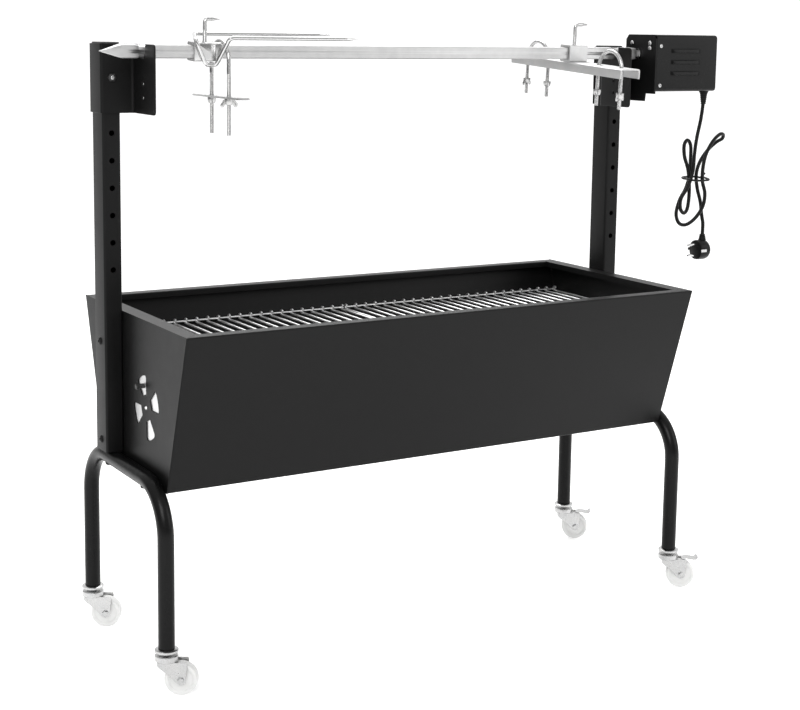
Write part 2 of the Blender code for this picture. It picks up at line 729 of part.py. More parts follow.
def spit_bar():
    """Square bar with a point, two turned necks in the brackets and a drive end."""
    tip = TROUGH_LEFT - LEFT_OVERHANG
    left = TROUGH_LEFT + BRACKET_REACH
    right = TROUGH_RIGHT - BRACKET_REACH
    end = right + BAR_PAST_NECK
    half = SPIT_SIDE / 2
    points = [(tip, 0, SPIT_Z)] + spit_square(1, tip + SPIT_POINT) + spit_square(1, end)
    faces = [(0, 1 + (i + 1) % 4, 1 + i) for i in range(4)]
    faces += [(1 + i, 1 + (i + 1) % 4, 5 + (i + 1) % 4, 5 + i) for i in range(4)]
    faces.append((5, 6, 7, 8))
    bar = from_lists("spit_bar", points, faces)
    for middle in (left, right):
        low, high = middle - NECK_LENGTH / 2, middle + NECK_LENGTH / 2
        bar = cut(bar, washer("turning", "X", (0, 0, SPIT_Z), NECK_RADIUS, half * 2, low, high, 24))
    drive = DRIVE_SIDE / 2
    stub = block("stub", (end - GAP, -drive, SPIT_Z - drive), (end + DRIVE_LENGTH, drive, SPIT_Z + drive))
    return finish(spit_turned(join(bar, stub)), "steel", (tip, 0, SPIT_Z))


def square_sleeve(name, middle, length):
    """Square tube sliding on the bar, with the clamp screw's hole in its top."""
    half, hole = SLEEVE_SIDE / 2, SPIT_SIDE / 2 + RUN_GAP
    outer = rounded_box((-half, SPIT_Z - half), (half, SPIT_Z + half), 0.002, 2)
    inner = [(-hole, SPIT_Z - hole), (hole, SPIT_Z - hole), (hole, SPIT_Z + hole), (-hole, SPIT_Z + hole)]
    made = flat_sheet(name, [outer, inner], "X", middle - length / 2, middle + length / 2)
    thread = disc("thread", "Z", (middle, 0, 0), HANDLE_RADIUS + 2 * GAP, SPIT_Z, SPIT_Z + half * 2, 12)
    return cut(made, thread)


def spit_fork():
    """Sleeve with a bent rod welded to its front face that ends in two prongs."""
    middle = TROUGH_LEFT + FORK_X
    sleeve = square_sleeve("spit_fork", middle, SLEEVE_LENGTH)
    half, side = PRONG_SPREAD / 2, SLEEVE_SIDE / 2
    rise = SPIT_Z + PRONG_RISE
    tip = TROUGH_LEFT + PRONG_TIP_X
    face = 0.0012 - side - PRONG_RADIUS
    over = SPIT_Z + side + PRONG_RADIUS + RUN_GAP
    under = SPIT_Z - side - 0.004
    end = SLEEVE_LENGTH / 2
    corners = [(tip, half, rise), (middle + 0.002, half, rise), (middle - end, face, over),
               (middle - 0.005, face, under), (middle + 0.012, face - 0.001, under - 0.0015),
               (middle + end, -half, rise), (tip, -half, rise)]
    rod = tube_mesh("rod", arc_path(corners, PRONG_BEND, 3), PRONG_RADIUS, 2)
    return finish(spit_turned(join(sleeve, rod)), "chrome", (middle, 0, SPIT_Z))


def clamp_screw(name, middle):
    """Screw with a bent handle, standing in the sleeve's top."""
    foot = SPIT_Z + SPIT_SIDE / 2 + GAP
    top = SPIT_Z + HANDLE_TOP
    path = arc_path([(middle, 0, foot), (middle, 0, top), (middle + HANDLE_ARM, 0, top)], 0.005, 3)
    made = tube_mesh(name, path, HANDLE_RADIUS, 2)
    return finish(spit_turned(made), "zinc", tuple(spit_point(middle, 0, foot)))


def spit_point(x, y, z):
    """A point turned with the spit's rest position."""
    swing = Matrix.Rotation(math.radians(SPIT_TURN), 4, "X")
    return swing @ Vector((x, y, z - SPIT_Z)) + Vector((0, 0, SPIT_Z))


def u_bolt(name, x, y, span, top, drop):
    """Bent rod with two threaded legs, its arch's top at a height."""
    half = span / 2
    arch = top - U_ROD - half
    path = [(x, y - half, drop)]
    for i in range(13):
        turn = math.pi * (1 - i / 12)
        path.append((x, y + half * math.cos(turn), arch + half * math.sin(turn)))
    path.append((x, y + half, drop))
    return tube_mesh(name, path, U_ROD, 2)


def spine_u_bolt():
    """Bolt hanging over the spit that holds the back of the roast."""
    x = TROUGH_LEFT + SPINE_U_X
    turn = math.radians(SPIT_TURN)
    corner = SPIT_SIDE / 2 * (math.cos(turn) + math.sin(turn))
    inside = SPINE_U_SPAN / 2 - U_ROD
    top = SPIT_Z + corner + RUN_GAP + SPINE_U_SPAN / 2 + U_ROD - math.sqrt(inside ** 2 - corner ** 2)
    made = u_bolt("spine_u_bolt", x, 0, SPINE_U_SPAN, top, SPIT_Z - SPINE_U_DROP)
    return finish(made, "zinc", (x, 0, SPIT_Z))


def spine_plate():
    """Flat strip across the two legs of the spine bolt."""
    x = TROUGH_LEFT + SPINE_U_X
    half = SPINE_PLATE_LENGTH / 2
    wide = SPINE_PLATE_WIDTH / 2
    z = SPIT_Z - SPINE_PLATE_DROP
    outline = [(x - wide, -half), (x + wide, -half), (x + wide, half), (x - wide, half)]
    holes = [circle(x, side * SPINE_U_SPAN / 2, U_ROD + RUN_GAP, 12) for side in (-1, 1)]
    return finish(flat_sheet("spine_plate", [outline] + holes, "Z", z, z + PLATE_THICK), "zinc", (x, 0, z))


def wing_nut(name, x, y, top, turn, turned=False):
    """Nut with two wings hanging down, on a leg of a bolt."""
    bore = U_ROD + RUN_GAP
    ring = washer(name, "Z", (0, 0, 0), bore, 0.0065, -0.009, 0, 12)
    wing = [(0.0055, -0.001), (0.0090, -0.0015), (0.0150, -0.0140), (0.0115, -0.0150), (0.0055, -0.0080)]
    other = [(-a, b) for a, b in wing]
    made = join(ring, prism("wing", wing, "Y", -0.0011, 0.0011), prism("wing", other, "Y", -0.0011, 0.0011))
    made.data.transform(Matrix.Translation((x, y, top)) @ Matrix.Rotation(math.radians(turn), 4, "Z"))
    origin = (x, y, top)
    if turned:
        spit_turned(made)
        origin = tuple(spit_point(*origin))
    return finish(made, "zinc", origin)


def leg_bar():
    """Sleeve with a channel welded under it, drilled for the two foot bolts."""
    middle = TROUGH_LEFT + LEG_BAR_X
    sleeve = square_sleeve("leg_bar", middle, LEG_BAR_SLEEVE)
    top = SPIT_Z - SLEEVE_SIDE / 2 + 0.0006
    half = LEG_BAR_WIDTH / 2
    low = top - LEG_BAR_HEIGHT
    line = [(middle - half, low), (middle - half, top), (middle + half, top), (middle + half, low)]
    channel = prism("channel", rod_outline(line, -LEG_BAR_SHEET), "Y", -LEG_BAR_HALF, LEG_BAR_HALF)
    drills = []
    for side in (-1, 1):
        for leg in (-1, 1):
            y = side * FOOT_U_Y + leg * FOOT_U_SPAN / 2
            ends = (top - 2 * LEG_BAR_SHEET, top + LEG_BAR_SHEET)
            drills.append(disc("drill", "Z", (middle, y, 0), U_ROD + 3 * RUN_GAP, *ends, 12))
    return finish(spit_turned(join(sleeve, cut(channel, *drills))), "steel", (middle, 0, SPIT_Z))


def foot_u_bolt(name, side):
    """Bolt through the leg bar that holds one foot of the roast."""
    x = TROUGH_LEFT + LEG_BAR_X
    top = SPIT_Z - SLEEVE_SIDE / 2
    made = u_bolt(name, x, side * FOOT_U_Y, FOOT_U_SPAN, top + FOOT_U_RISE, top - FOOT_U_DROP)
    return finish(spit_turned(made), "zinc", tuple(spit_point(x, side * FOOT_U_Y, top)))


# ---------------------------------------------------------------- motor unit
def mount_face():
    """X of the motor mount's face on the bracket's side."""
    return post_span(1)[1] + 2 * GAP + BRACKET_SHEET


def motor_mount():
    """Upright plate carrying the motor, bolted to the side of the right bracket."""
    low = mount_face()
    high = low + MOUNT_SHEET
    r = MOUNT_CORNER
    foot, step = MOUNT_FOOT
    back = POST_FRONT + POST_DEPTH
    outline = [(MOTOR_FRONT, MOTOR_BOTTOM - 0.004), (MOTOR_FRONT, MOTOR_TOP - r),
               (MOTOR_FRONT + r, MOTOR_TOP), (MOTOR_REAR - r, MOTOR_TOP),
               (MOTOR_REAR, MOTOR_TOP - r), (MOTOR_REAR, step),
               (back, step), (back, foot), (-0.0205, foot), (-0.0225, MOTOR_BOTTOM - 0.004)]
    hub = circle(0, SPIT_Z, HUB_RADIUS + RUN_GAP, 20)
    screws = [circle(y, z, MOUNT_SCREW_RADIUS, 10) for y, z in MOUNT_SCREWS]
    return finish(flat_sheet("motor_mount", [outline, hub] + screws, "X", low, high), "paint")


def motor_cover():
    """Folded box over the motor, open towards the mount, with three louvre slots and a cord hole."""
    low = mount_face() + MOUNT_SHEET + GAP
    high = TROUGH_RIGHT + RIGHT_OVERHANG
    t = COVER_SHEET
    outline = rounded_box((MOTOR_FRONT, MOTOR_BOTTOM), (MOTOR_REAR, MOTOR_TOP), COVER_CORNER, 3)
    hollow = rounded_box((MOTOR_FRONT + t, MOTOR_BOTTOM + t), (MOTOR_REAR - t, MOTOR_TOP - t),
                         COVER_CORNER - t, 3)
    made = prism("motor_cover", outline, "X", low, high)
    tools = [prism("hollow", hollow, "X", low - t, high - t)]
    start, stop = LOUVRE_SPAN
    for z in LOUVRE_TOPS:
        tools.append(block("slot", (low + start, MOTOR_FRONT - t, z - LOUVRE_HEIGHT),
                           (low + stop, MOTOR_FRONT + 2 * t, z)))
    tools.append(disc("exit", "Z", (GLAND_X, CORD_Y, 0), EXIT_RADIUS, MOTOR_BOTTOM - t,
                      MOTOR_BOTTOM + 2 * t, ROUND))
    return finish(cut(made, *tools), "paint")


def gear_outline(teeth, turn):
    """Straight-sided gear teeth about the origin, with clearance for its partner."""
    pitch = teeth * TOOTH_MODULE / 2
    tip, root = pitch + 0.85 * TOOTH_MODULE, pitch - 1.15 * TOOTH_MODULE
    outline = []
    step = 2 * math.pi / teeth
    for i in range(teeth):
        middle = step * (i + turn)
        for radius, share in ((root, -0.29), (tip, -0.10), (tip, 0.10), (root, 0.29)):
            angle = middle + share * step
            outline.append((radius * math.cos(angle), radius * math.sin(angle)))
    return outline


def gear_start():
    """X where the gears begin, clear of the mount."""
    return mount_face() + MOUNT_SHEET + 0.004


def drive_gear():
    """Gear with a hub through the mount and a square socket for the spit's drive end."""
    low = gear_start()
    teeth = [(a, b + SPIT_Z) for a, b in gear_outline(GEAR_TEETH, 0.5)]
    made = prism("drive_gear", teeth, "X", low, low + GEAR_WIDTH)
    hub = disc("hub", "X", (0, 0, SPIT_Z), HUB_RADIUS, mount_face() - 0.004, low + GEAR_WIDTH * 0.5, 20)
    side = DRIVE_SIDE / 2 + RUN_GAP
    socket = block("socket", (mount_face() - 0.010, -side, SPIT_Z - side),
                   (low + GEAR_WIDTH + 0.002, side, SPIT_Z + side))
    return finish(cut(join(made, hub), spit_turned(socket)), "steel", (low, 0, SPIT_Z))


def pinion_height():
    """Height of the motor shaft below the spit."""
    return SPIT_Z - (GEAR_TEETH + PINION_TEETH) * TOOTH_MODULE / 2


def motor_pinion():
    """Small gear on its shaft, driving the big one."""
    low = gear_start()
    z = pinion_height()
    teeth = [(a, b + z) for a, b in gear_outline(PINION_TEETH, 0.0)]
    made = prism("motor_pinion", teeth, "X", low, low + GEAR_WIDTH)
    shaft = disc("shaft", "X", (0, 0, z), 0.003, low + 0.002, low + GEAR_WIDTH + 0.018, 12)
    return finish(join(made, shaft), "brass", (low, 0, z))


def gear_motor():
    """Motor body behind the pinion, on two standoffs from the mount."""
    z = pinion_height()
    low = gear_start() + GEAR_WIDTH + 0.006
    body = block("gear_motor", (low, -0.028, 0.887), (low + 0.060, 0.028, 0.942))
    bore = disc("bore", "X", (0, 0, z), 0.003 + RUN_GAP, low - 0.002, low + 0.018, 12)
    start = mount_face() + MOUNT_SHEET + GAP
    feet = [block("foot", (start, y - 0.0035, 0.8875), (low + 0.002, y + 0.0035, 0.8945))
            for y in (-0.0245, 0.0245)]
    return finish(join(cut(body, bore), *feet), "zinc")


# ---------------------------------------------------------------- cord
def cord_gland():
    """Collar in the cover's floor that holds the cord."""
    z = MOTOR_BOTTOM
    bore = CORD_RADIUS + GAP
    profile = [(bore, z - 0.006), (EXIT_RADIUS, z - 0.006), (0.0078, z - 0.003), (0.0078, z - GAP),
               (EXIT_RADIUS - GAP, z - GAP), (EXIT_RADIUS - GAP, z + 0.004), (bore, z + 0.004)]
    return finish(lathe("cord_gland", profile, "Z", (GLAND_X, CORD_Y, 0), ROUND, closed=True), "plastic")


CORD_ROUTE = [
    (GLAND_X, CORD_Y, 0.884), (GLAND_X, CORD_Y, 0.862), (0.566, -0.030, 0.830), (0.558, -0.030, 0.795),
    (0.553, -0.031, 0.765), (0.551, -0.031, 0.735), (0.541, -0.031, 0.706), (0.526, -0.030, 0.684),
    (0.526, -0.029, 0.665), (0.536, -0.028, 0.656), (0.546, -0.026, 0.667), (0.550, -0.024, 0.700),
    (0.547, -0.022, 0.735), (0.538, -0.021, 0.760), (0.537, -0.020, 0.781), (0.546, -0.018, 0.790),
    (0.556, -0.016, 0.780), (0.558, -0.015, 0.755), (0.557, -0.015, 0.725), (0.548, -0.016, 0.700),
    (0.533, -0.018, 0.680), (0.524, -0.020, 0.655), (0.530, -0.022, 0.637), (0.544, -0.026, 0.634),
    (0.560, -0.032, 0.646), (0.572, -0.038, 0.668), (0.574, -0.040, 0.692), (0.567, -0.040, 0.715),
    (0.567, -0.040, 0.740), (0.574, -0.039, 0.765), (0.590, -0.038, 0.788), (0.606, -0.037, 0.800),
    (0.618, -0.034, 0.800), (0.620, -0.030, 0.792), (0.610, -0.025, 0.785), (0.592, -0.022, 0.770),
    (0.575, -0.021, 0.748), (0.568, -0.021, 0.725), (0.571, -0.022, 0.700), (0.578, -0.024, 0.675),
    (0.580, -0.027, 0.650), (0.581, -0.030, 0.635), (0.581, -0.030, 0.615)]


def smooth_line(route, step):
    """Points at a steady spacing on a smooth curve through route points."""
    ends = [route[0]] + list(route) + [route[-1]]
    fine = [Vector(route[0])]
    for i in range(len(route) - 1):
        p0, p1, p2, p3 = (Vector(p) for p in ends[i:i + 4])
        for k in range(1, 9):
            t = k / 8
            fine.append(0.5 * (2 * p1 + (p2 - p0) * t + (2 * p0 - 5 * p1 + 4 * p2 - p3) * t * t
                               + (3 * p1 - p0 - 3 * p2 + p3) * t ** 3))
    total = sum((b - a).length for a, b in zip(fine, fine[1:]))
    count = round(total / step)
    spaced, walked, target = [fine[0]], 0.0, total / count
    for a, b in zip(fine, fine[1:]):
        length = (b - a).length
        while walked + length >= target - 1e-9 and len(spaced) < count:
            spaced.append(a.lerp(b, (target - walked) / length))
            target += total / count
        walked += length
    spaced.append(fine[-1])
    return spaced


def power_cord():
    """Cord from the gland through its tied bundle to the plug."""
    return finish(tube_mesh("power_cord", smooth_line(CORD_ROUTE, 0.017), CORD_RADIUS, 2), "plastic")


def cord_tie():
    """Wire tie round the bundle."""
    profile = rounded_box((0.5395, -0.0485), (0.5825, -0.0065), 0.010, 3)
    inner = rounded_box((0.5410, -0.0470), (0.5810, -0.0080), 0.009, 3)
    return finish(flat_sheet("cord_tie", [profile, inner], "Z", 0.716, 0.722), "plastic")


def mains_plug():
    """Angled plug: round body facing left, sleeve upwards for the cord, two pins."""
    x, y, z = 0.581, -0.030, 0.586
    body = lathe("mains_plug", [(0, 0.009), (0.012, 0.010), (0.0185, 0.004), (0.0185, -0.016), (0, -0.016)],
                 "X", (x, y, z), 20)
    neck = lathe("neck", [(0, 0.008), (0.0075, 0.008), (0.0050, 0.0285), (0, 0.0285)], "Z", (x, y, z), ROUND)
    pins = [disc("pin", "X", (x, y, z + side * 0.0095), 0.0024, -0.035, -0.010, 10) for side in (-1, 1)]
    return finish(join(body, neck, *pins), "plastic")


# ---------------------------------------------------------------- the whole object
def build_casters():
    """Four casters; the two at the motor end have brakes."""
    for end, side in (("left", -1), ("right", 1)):
        for place_name, depth in (("front", -1), ("rear", 1)):
            matrix = caster_frame(side, depth)
            tail = f"{end}_{place_name}"
            caster_stem(f"caster_stem_{tail}", matrix)
            caster_fork(f"caster_fork_{tail}", matrix)
            caster_wheel(f"caster_wheel_{tail}", matrix)
            caster_axle(f"caster_axle_{tail}", matrix)
            if side > 0:
                brake_pedal(f"brake_pedal_{tail}", matrix)


def build_clamps():
    """Everything that slides on the spit."""
    spit_fork()
    clamp_screw("fork_clamp_screw", TROUGH_LEFT + FORK_X)
    spine_u_bolt()
    spine_plate()
    top = SPIT_Z - SPINE_PLATE_DROP - GAP
    for tail, side, turn in (("front", -1, 0), ("rear", 1, 70)):
        wing_nut(f"spine_wing_nut_{tail}", TROUGH_LEFT + SPINE_U_X, side * SPINE_U_SPAN / 2, top, turn)
    leg_bar()
    clamp_screw("leg_bar_clamp_screw", TROUGH_LEFT + LEG_BAR_X)
    top = SPIT_Z - SLEEVE_SIDE / 2 - FOOT_NUT_DROP
    for tail, side in (("front", -1), ("rear", 1)):
        foot_u_bolt(f"foot_u_bolt_{tail}", side)
        for leg_name, leg, turn in (("outer", side, 25), ("inner", -side, 60)):
            y = side * FOOT_U_Y + leg * FOOT_U_SPAN / 2
            wing_nut(f"foot_wing_nut_{tail}_{leg_name}", TROUGH_LEFT + LEG_BAR_X, y, top, turn, turned=True)


def build_ends():
    """End plates, dampers, leg frames, posts and brackets of both ends."""
    for tail, side, outside in (("left", -1, TROUGH_LEFT), ("right", 1, TROUGH_RIGHT)):
        end_plate(f"end_plate_{tail}", outside, -side)
        vent_damper(f"vent_damper_{tail}", outside, -side)
        leg_frame(f"leg_frame_{tail}", side)
        post(f"post_{tail}", side)
        post_cap(f"post_cap_{tail}", side)
        spit_bracket(f"spit_bracket_{tail}", side)
        bracket_bolt(f"bracket_bolt_{tail}", side)


def build_motor():
    """Motor unit and cord."""
    motor_mount()
    motor_cover()
    gear_motor()
    motor_pinion()
    drive_gear()
    cord_gland()
    power_cord()
    cord_tie()
    mains_plug()


def build():
    """Every piece."""
    trough_shell()
    cooking_grate("cooking_grate_left", TROUGH_LEFT + SHEET + 2 * GAP)
    cooking_grate("cooking_grate_right", TROUGH_MIDDLE + GAP)
    build_ends()
    build_casters()
    spit_bar()
    build_clamps()
    build_motor()


build()
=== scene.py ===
# %% [markdown]
# # A rotisserie spit roaster
# A charcoal trough stands on two bent tube frames with casters. Two posts carry a square spit
# that a geared motor turns. Everything here is dressed round a fixed frame of CAD parts: each
# piece is built in metres exactly where its part is, and then rides on the part's body.

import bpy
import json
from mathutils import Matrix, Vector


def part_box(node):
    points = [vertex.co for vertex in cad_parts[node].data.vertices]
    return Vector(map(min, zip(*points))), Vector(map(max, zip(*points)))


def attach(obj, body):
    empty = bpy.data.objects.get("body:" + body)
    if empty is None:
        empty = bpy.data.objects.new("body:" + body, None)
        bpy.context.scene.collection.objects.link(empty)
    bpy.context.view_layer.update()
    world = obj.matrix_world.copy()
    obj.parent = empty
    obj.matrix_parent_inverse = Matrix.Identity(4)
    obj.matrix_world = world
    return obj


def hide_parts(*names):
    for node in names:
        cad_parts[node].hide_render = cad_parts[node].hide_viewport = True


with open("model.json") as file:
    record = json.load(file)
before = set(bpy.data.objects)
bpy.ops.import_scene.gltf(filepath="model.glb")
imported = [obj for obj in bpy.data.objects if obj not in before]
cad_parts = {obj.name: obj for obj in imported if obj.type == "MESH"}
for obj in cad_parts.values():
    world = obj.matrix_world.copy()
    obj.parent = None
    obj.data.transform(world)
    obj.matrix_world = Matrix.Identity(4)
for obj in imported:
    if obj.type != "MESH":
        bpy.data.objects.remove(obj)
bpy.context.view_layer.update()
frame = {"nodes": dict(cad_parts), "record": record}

import json
import math

import bpy
import numpy as np
from mathutils import Matrix, Vector
from mathutils.geometry import tessellate_polygon

# %% [markdown]
# ## Camera
# The roaster is seen from its left end, a little above the spit, through a long lens. A long
# lens keeps the trough's edges close to parallel. The camera's axes are worked out from a
# heading, a pitch and a small roll, which is easier to read than a turned matrix.

# %% Camera
CAMERA_AT = (-1.4208, -2.2704, 0.9898)
HEADING, PITCH, ROLL = math.radians(30.97), math.radians(8.23), math.radians(0.81)

forward = Vector((math.sin(HEADING) * math.cos(PITCH), math.cos(HEADING) * math.cos(PITCH),
                  -math.sin(PITCH)))
level = Vector((math.cos(HEADING), -math.sin(HEADING), 0))
upright = level.cross(forward)
right = level * math.cos(ROLL) + upright * math.sin(ROLL)
up = upright * math.cos(ROLL) - level * math.sin(ROLL)
lens = bpy.data.cameras.new("camera")
lens.lens = 71.72
lens.shift_y = -0.12225
camera = bpy.data.objects.new("camera", lens)
turned = Matrix((right, up, -forward)).transposed().to_4x4()
camera.matrix_world = Matrix.Translation(CAMERA_AT) @ turned
bpy.context.scene.collection.objects.link(camera)
bpy.context.scene.camera = camera
print("camera stands", round((Vector(CAMERA_AT) - Vector((0, 0, 0.6))).length, 2), "m away")

# %% [markdown]
# ## Sizes
# The same sizes as the solids have, so that each detailed piece fills the place of its part.

# %% Sizes
LEFT, RIGHT = -0.5346, 0.4054
MIDDLE = (LEFT + RIGHT) / 2
HALF_WIDTH, FOOT = 0.2075, 0.1305
RIM_Z, BOTTOM_Z = 0.547, 0.298
SHEET, FLANGE, LIP = 0.0015, 0.023, 0.010
VENT_Y, VENT_Z, VENT_TURN = -0.0525, 0.4125, 68
TUBE = 0.0125
HALF_LENGTH = 0.470     # of the trough
GAP = 0.0003            # clearance between neighbouring pieces
LEG_Y = 0.1567
LEG_END = 0.0705
POST_LOW, POST_TOP = 0.3233, 0.9575
POST_Y = (0.0405, 0.0855)
POST_WIDE = 0.029
HOLES = 0.9075 - 0.0422 * np.arange(8)
SPIT_Z = 0.948
SPIT_TURN = math.radians(3.5)
BRACKET = (0.8535, 0.9585)
WALL = 0.0025
BODY_OF = {node: body for body, nodes in frame["record"]["behaviour"]["bodies"].items() for node in nodes}

# %% [markdown]
# ## Shader maths as expressions
# A finish is a network of nodes. Writing it as sums and products keeps it readable, so one small
# class wraps an output: adding or multiplying it adds the Math node that does so, and `node`
# makes any other node, with its settings first and then its inputs.


# %% A wire between nodes
class Wire:
    """One output of a node in a material's network."""

    def __init__(self, tree, socket=None):
        self.tree, self.socket = tree, socket

    def node(self, kind, settings=None, out=0, stops=(), **sockets):
        """A new node: its settings, the stops of a ramp, and values or wires for its inputs."""
        made = self.tree.nodes.new(kind)
        for key, value in (settings or {}).items():
            setattr(made, key, value)
        for i, (place, shade) in enumerate(stops):
            band = made.color_ramp.elements
            stop = band[i] if i < 2 else band.new(place)
            stop.position, stop.color = place, (shade, shade, shade, 1)
        for key, value in sockets.items():
            slot = made.inputs[int(key[1:]) if key[1:].isdigit() else key.replace("_", " ")]
            if isinstance(value, Wire):
                self.tree.links.new(value.socket, slot)
            else:
                slot.default_value = value
        return Wire(self.tree, made.outputs[out])

    def maths(self, operation, first, second):
        return self.node("ShaderNodeMath", {"operation": operation}, i0=first, i1=second)

    def __add__(self, other):
        return self.maths("ADD", self, other)

    def __sub__(self, other):
        return self.maths("SUBTRACT", self, other)

    def __rsub__(self, other):
        return self.maths("SUBTRACT", other, self)

    def __mul__(self, other):
        return self.maths("MULTIPLY", self, other)

    __radd__, __rmul__ = __add__, __mul__


# %% [markdown]
# ## The plain tools of a finish
# Real finishes are never one flat colour. Each is built from a few noise patterns in object
# coordinates, so a pattern keeps its real size in millimetres on every piece.

# %% Patterns and a shader
def noise(start, place, scale, detail=2.0, stretch=(1, 1, 1)):
    """Cloudy values from 0 to 1, scale clouds to the metre, drawn out along an axis by stretch."""
    drawn = start.node("ShaderNodeMapping", Vector=place, Scale=stretch)
    return start.node("ShaderNodeTexNoise", Vector=drawn, Scale=scale, Detail=detail, out=0)


def blend(start, share, low, high):
    """A colour between two colours."""
    mixed = start.node("ShaderNodeMix", {"data_type": "RGBA"}, out=2, i0=share, i6=low, i7=high)
    return mixed


def shade(level, tint=(1, 1, 1)):
    """A colour socket's four numbers."""
    return (level * tint[0], level * tint[1], level * tint[2], 1)


def new_material(name, **constants):
    """A material, its wire to build from, object coordinates and its main shader."""
    made = bpy.data.materials.new(name)
    made.use_nodes = True
    shader = made.node_tree.nodes["Principled BSDF"]
    for key, value in constants.items():
        shader.inputs[key.replace("_", " ")].default_value = value
    start = Wire(made.node_tree)
    place = start.node("ShaderNodeTexCoord", out="Object")
    return made, start, place, shader


def connect(start, shader, **wires):
    """Wire patterns into the main shader."""
    for key, wire in wires.items():
        start.tree.links.new(wire.socket, shader.inputs[key.replace("_", " ")])


def bump(start, height, depth):
    """A normal from a height pattern, depth in metres."""
    return start.node("ShaderNodeBump", Strength=1.0, Distance=depth, Height=height)


# %% [markdown]
# ## Powder coat
# The trough, legs, posts and brackets are powder coated in satin black. Powder melts into a skin
# with a very fine orange peel, and handling leaves faint cloudy patches where the gloss differs.

# %% Black powder coat
def powder_coat(name, level, rough, peel, shine=0.16):
    """Black powder coat: fine grain and orange peel, with slow changes of shade and gloss."""
    made, start, place, shader = new_material(name, Specular_IOR_Level=shine)
    grain = noise(start, place, 1500, 1.0)
    peel_noise = noise(start, place, 420, 2.0)
    cloud = noise(start, place, 9, 3.0)
    handled = noise(start, place, 45, 4.0)
    share = cloud * 0.6 + handled * 0.4
    base = blend(start, share, shade(level * 0.82, (1, 1, 1.02)), shade(level * 1.2, (1, 1, 1.01)))
    gloss = cloud * 0.10 + handled * 0.06 + grain * 0.05 + (rough - 0.105)
    height = peel_noise * 0.7 + grain * 0.3
    connect(start, shader, Base_Color=base, Roughness=gloss, Normal=bump(start, height, peel))
    return made


coat = powder_coat("black_powder_coat", 0.0045, 0.42, 0.00010)
tube_coat = powder_coat("gloss_powder_coat", 0.0035, 0.28, 0.00005, 0.15)
print("powder coats made")

# %% [markdown]
# ## Bare and plated metal
# The spit is brushed along its length, so its grain is a noise pattern drawn out along X. Zinc
# plating on bolts and casters is cloudy and faintly blue or straw coloured. Chromed wire is
# smoothest, with a few dull spots.

# %% Metals
def metal(name, level, tint, rough, stretch, scale, spread, depth):
    """Plated or brushed metal: clouds change its colour, and drawn-out grain its roughness."""
    made, start, place, shader = new_material(name, Metallic=1.0)
    cloud = noise(start, place, 60, 3.0)
    grain = noise(start, place, scale, 2.0, stretch)
    warm = tuple(2 - part for part in tint)
    base = blend(start, cloud, shade(level * 0.86, tint), shade(min(level * 1.08, 1.0), warm))
    gloss = grain * spread + cloud * (spread * 0.6) + (rough - spread * 0.8)
    connect(start, shader, Base_Color=base, Roughness=gloss, Normal=bump(start, grain, depth))
    return made


EVEN, ALONG_X = (1, 1, 1), (0.02, 1, 1)
steel = metal("brushed_spit_steel", 0.56, (0.995, 0.998, 1.005), 0.36, ALONG_X, 1400, 0.20, 0.00002)
polished = metal("polished_steel", 0.66, (0.995, 0.998, 1.005), 0.16, ALONG_X, 1600, 0.08, 0.00001)
zinc = metal("bright_zinc", 0.52, (0.985, 0.995, 1.015), 0.27, EVEN, 500, 0.16, 0.00002)
dull_zinc = metal("zinc_sheet", 0.58, (0.99, 0.998, 1.01), 0.42, EVEN, 260, 0.16, 0.00002)
pale_zinc = metal("damper_zinc", 0.84, (0.99, 0.998, 1.01), 0.45, EVEN, 260, 0.16, 0.00002)
chrome = metal("chromed_wire", 0.60, (0.99, 0.997, 1.008), 0.16, EVEN, 900, 0.10, 0.00001)
# The grate wire is far paler than the chromed wire: partly a whitish plating, partly painted light from the
# lamps overhead.
grate_chrome_painted_bright = metal("grate_chrome_painted_bright", 0.92, (0.99, 0.997, 1.008), 0.40, EVEN, 900, 0.16, 0.00002)
brass = metal("pinion_brass", 0.62, (1.16, 1.0, 0.62), 0.30, EVEN, 700, 0.14, 0.00001)
print("metals made")

# %% [markdown]
# ## Plastics
# The cord's jacket and plug are soft black vinyl with a slight sheen, the post caps are harder,
# and the caster wheels are milky nylon that lets some light in.

# %% Plastics
def plastic(name, low, high, rough, scale, depth, **constants):
    """Moulded plastic: a fine grain, and slow changes of gloss from handling."""
    made, start, place, shader = new_material(name, **constants)
    grain = noise(start, place, scale, 2.0)
    cloud = noise(start, place, 40, 2.0)
    base = blend(start, cloud, low, high)
    gloss = cloud * 0.12 + grain * 0.06 + (rough - 0.09)
    connect(start, shader, Base_Color=base, Roughness=gloss, Normal=bump(start, grain, depth))
    return made


vinyl = plastic("cord_vinyl", shade(0.004), shade(0.008), 0.36, 1800, 0.00003, Specular_IOR_Level=0.14)
cap_plastic = plastic("cap_plastic", shade(0.012), shade(0.022), 0.46, 1500, 0.00004)
nylon = plastic("wheel_nylon", shade(0.62, (1, 1, 0.985)), shade(0.74, (1, 1, 0.99)), 0.36, 700, 0.00004,
                Subsurface_Weight=0.25, Subsurface_Scale=0.004,
                Subsurface_Radius=(1, 1, 1))
print("plastics made")

# %% [markdown]
# ## Surfaces from grids
# Almost every piece is one of three things: a closed section carried along a line, a profile
# turned about an axis, or a flat outline given a thickness. Each helper works out all points as
# one array and returns points and faces, so several shells can go into one mesh.

# %% Shell helpers
def skin(rings, loop=False):
    """Faces between rings of points; rows run along the piece and columns round it."""
    rings = np.asarray(rings, float)
    rows, columns = rings.shape[:2]
    index = np.arange(rows * columns).reshape(rows, columns)
    closed = np.vstack([index, index[:1]]) if loop else index
    a, b = closed[:-1], closed[1:]
    quads = np.stack([a, np.roll(a, -1, 1), np.roll(b, -1, 1), b], -1).reshape(-1, 4)
    ends = [] if loop else [index[0][::-1].tolist(), index[-1].tolist()]
    return rings.reshape(-1, 3), quads.tolist() + ends


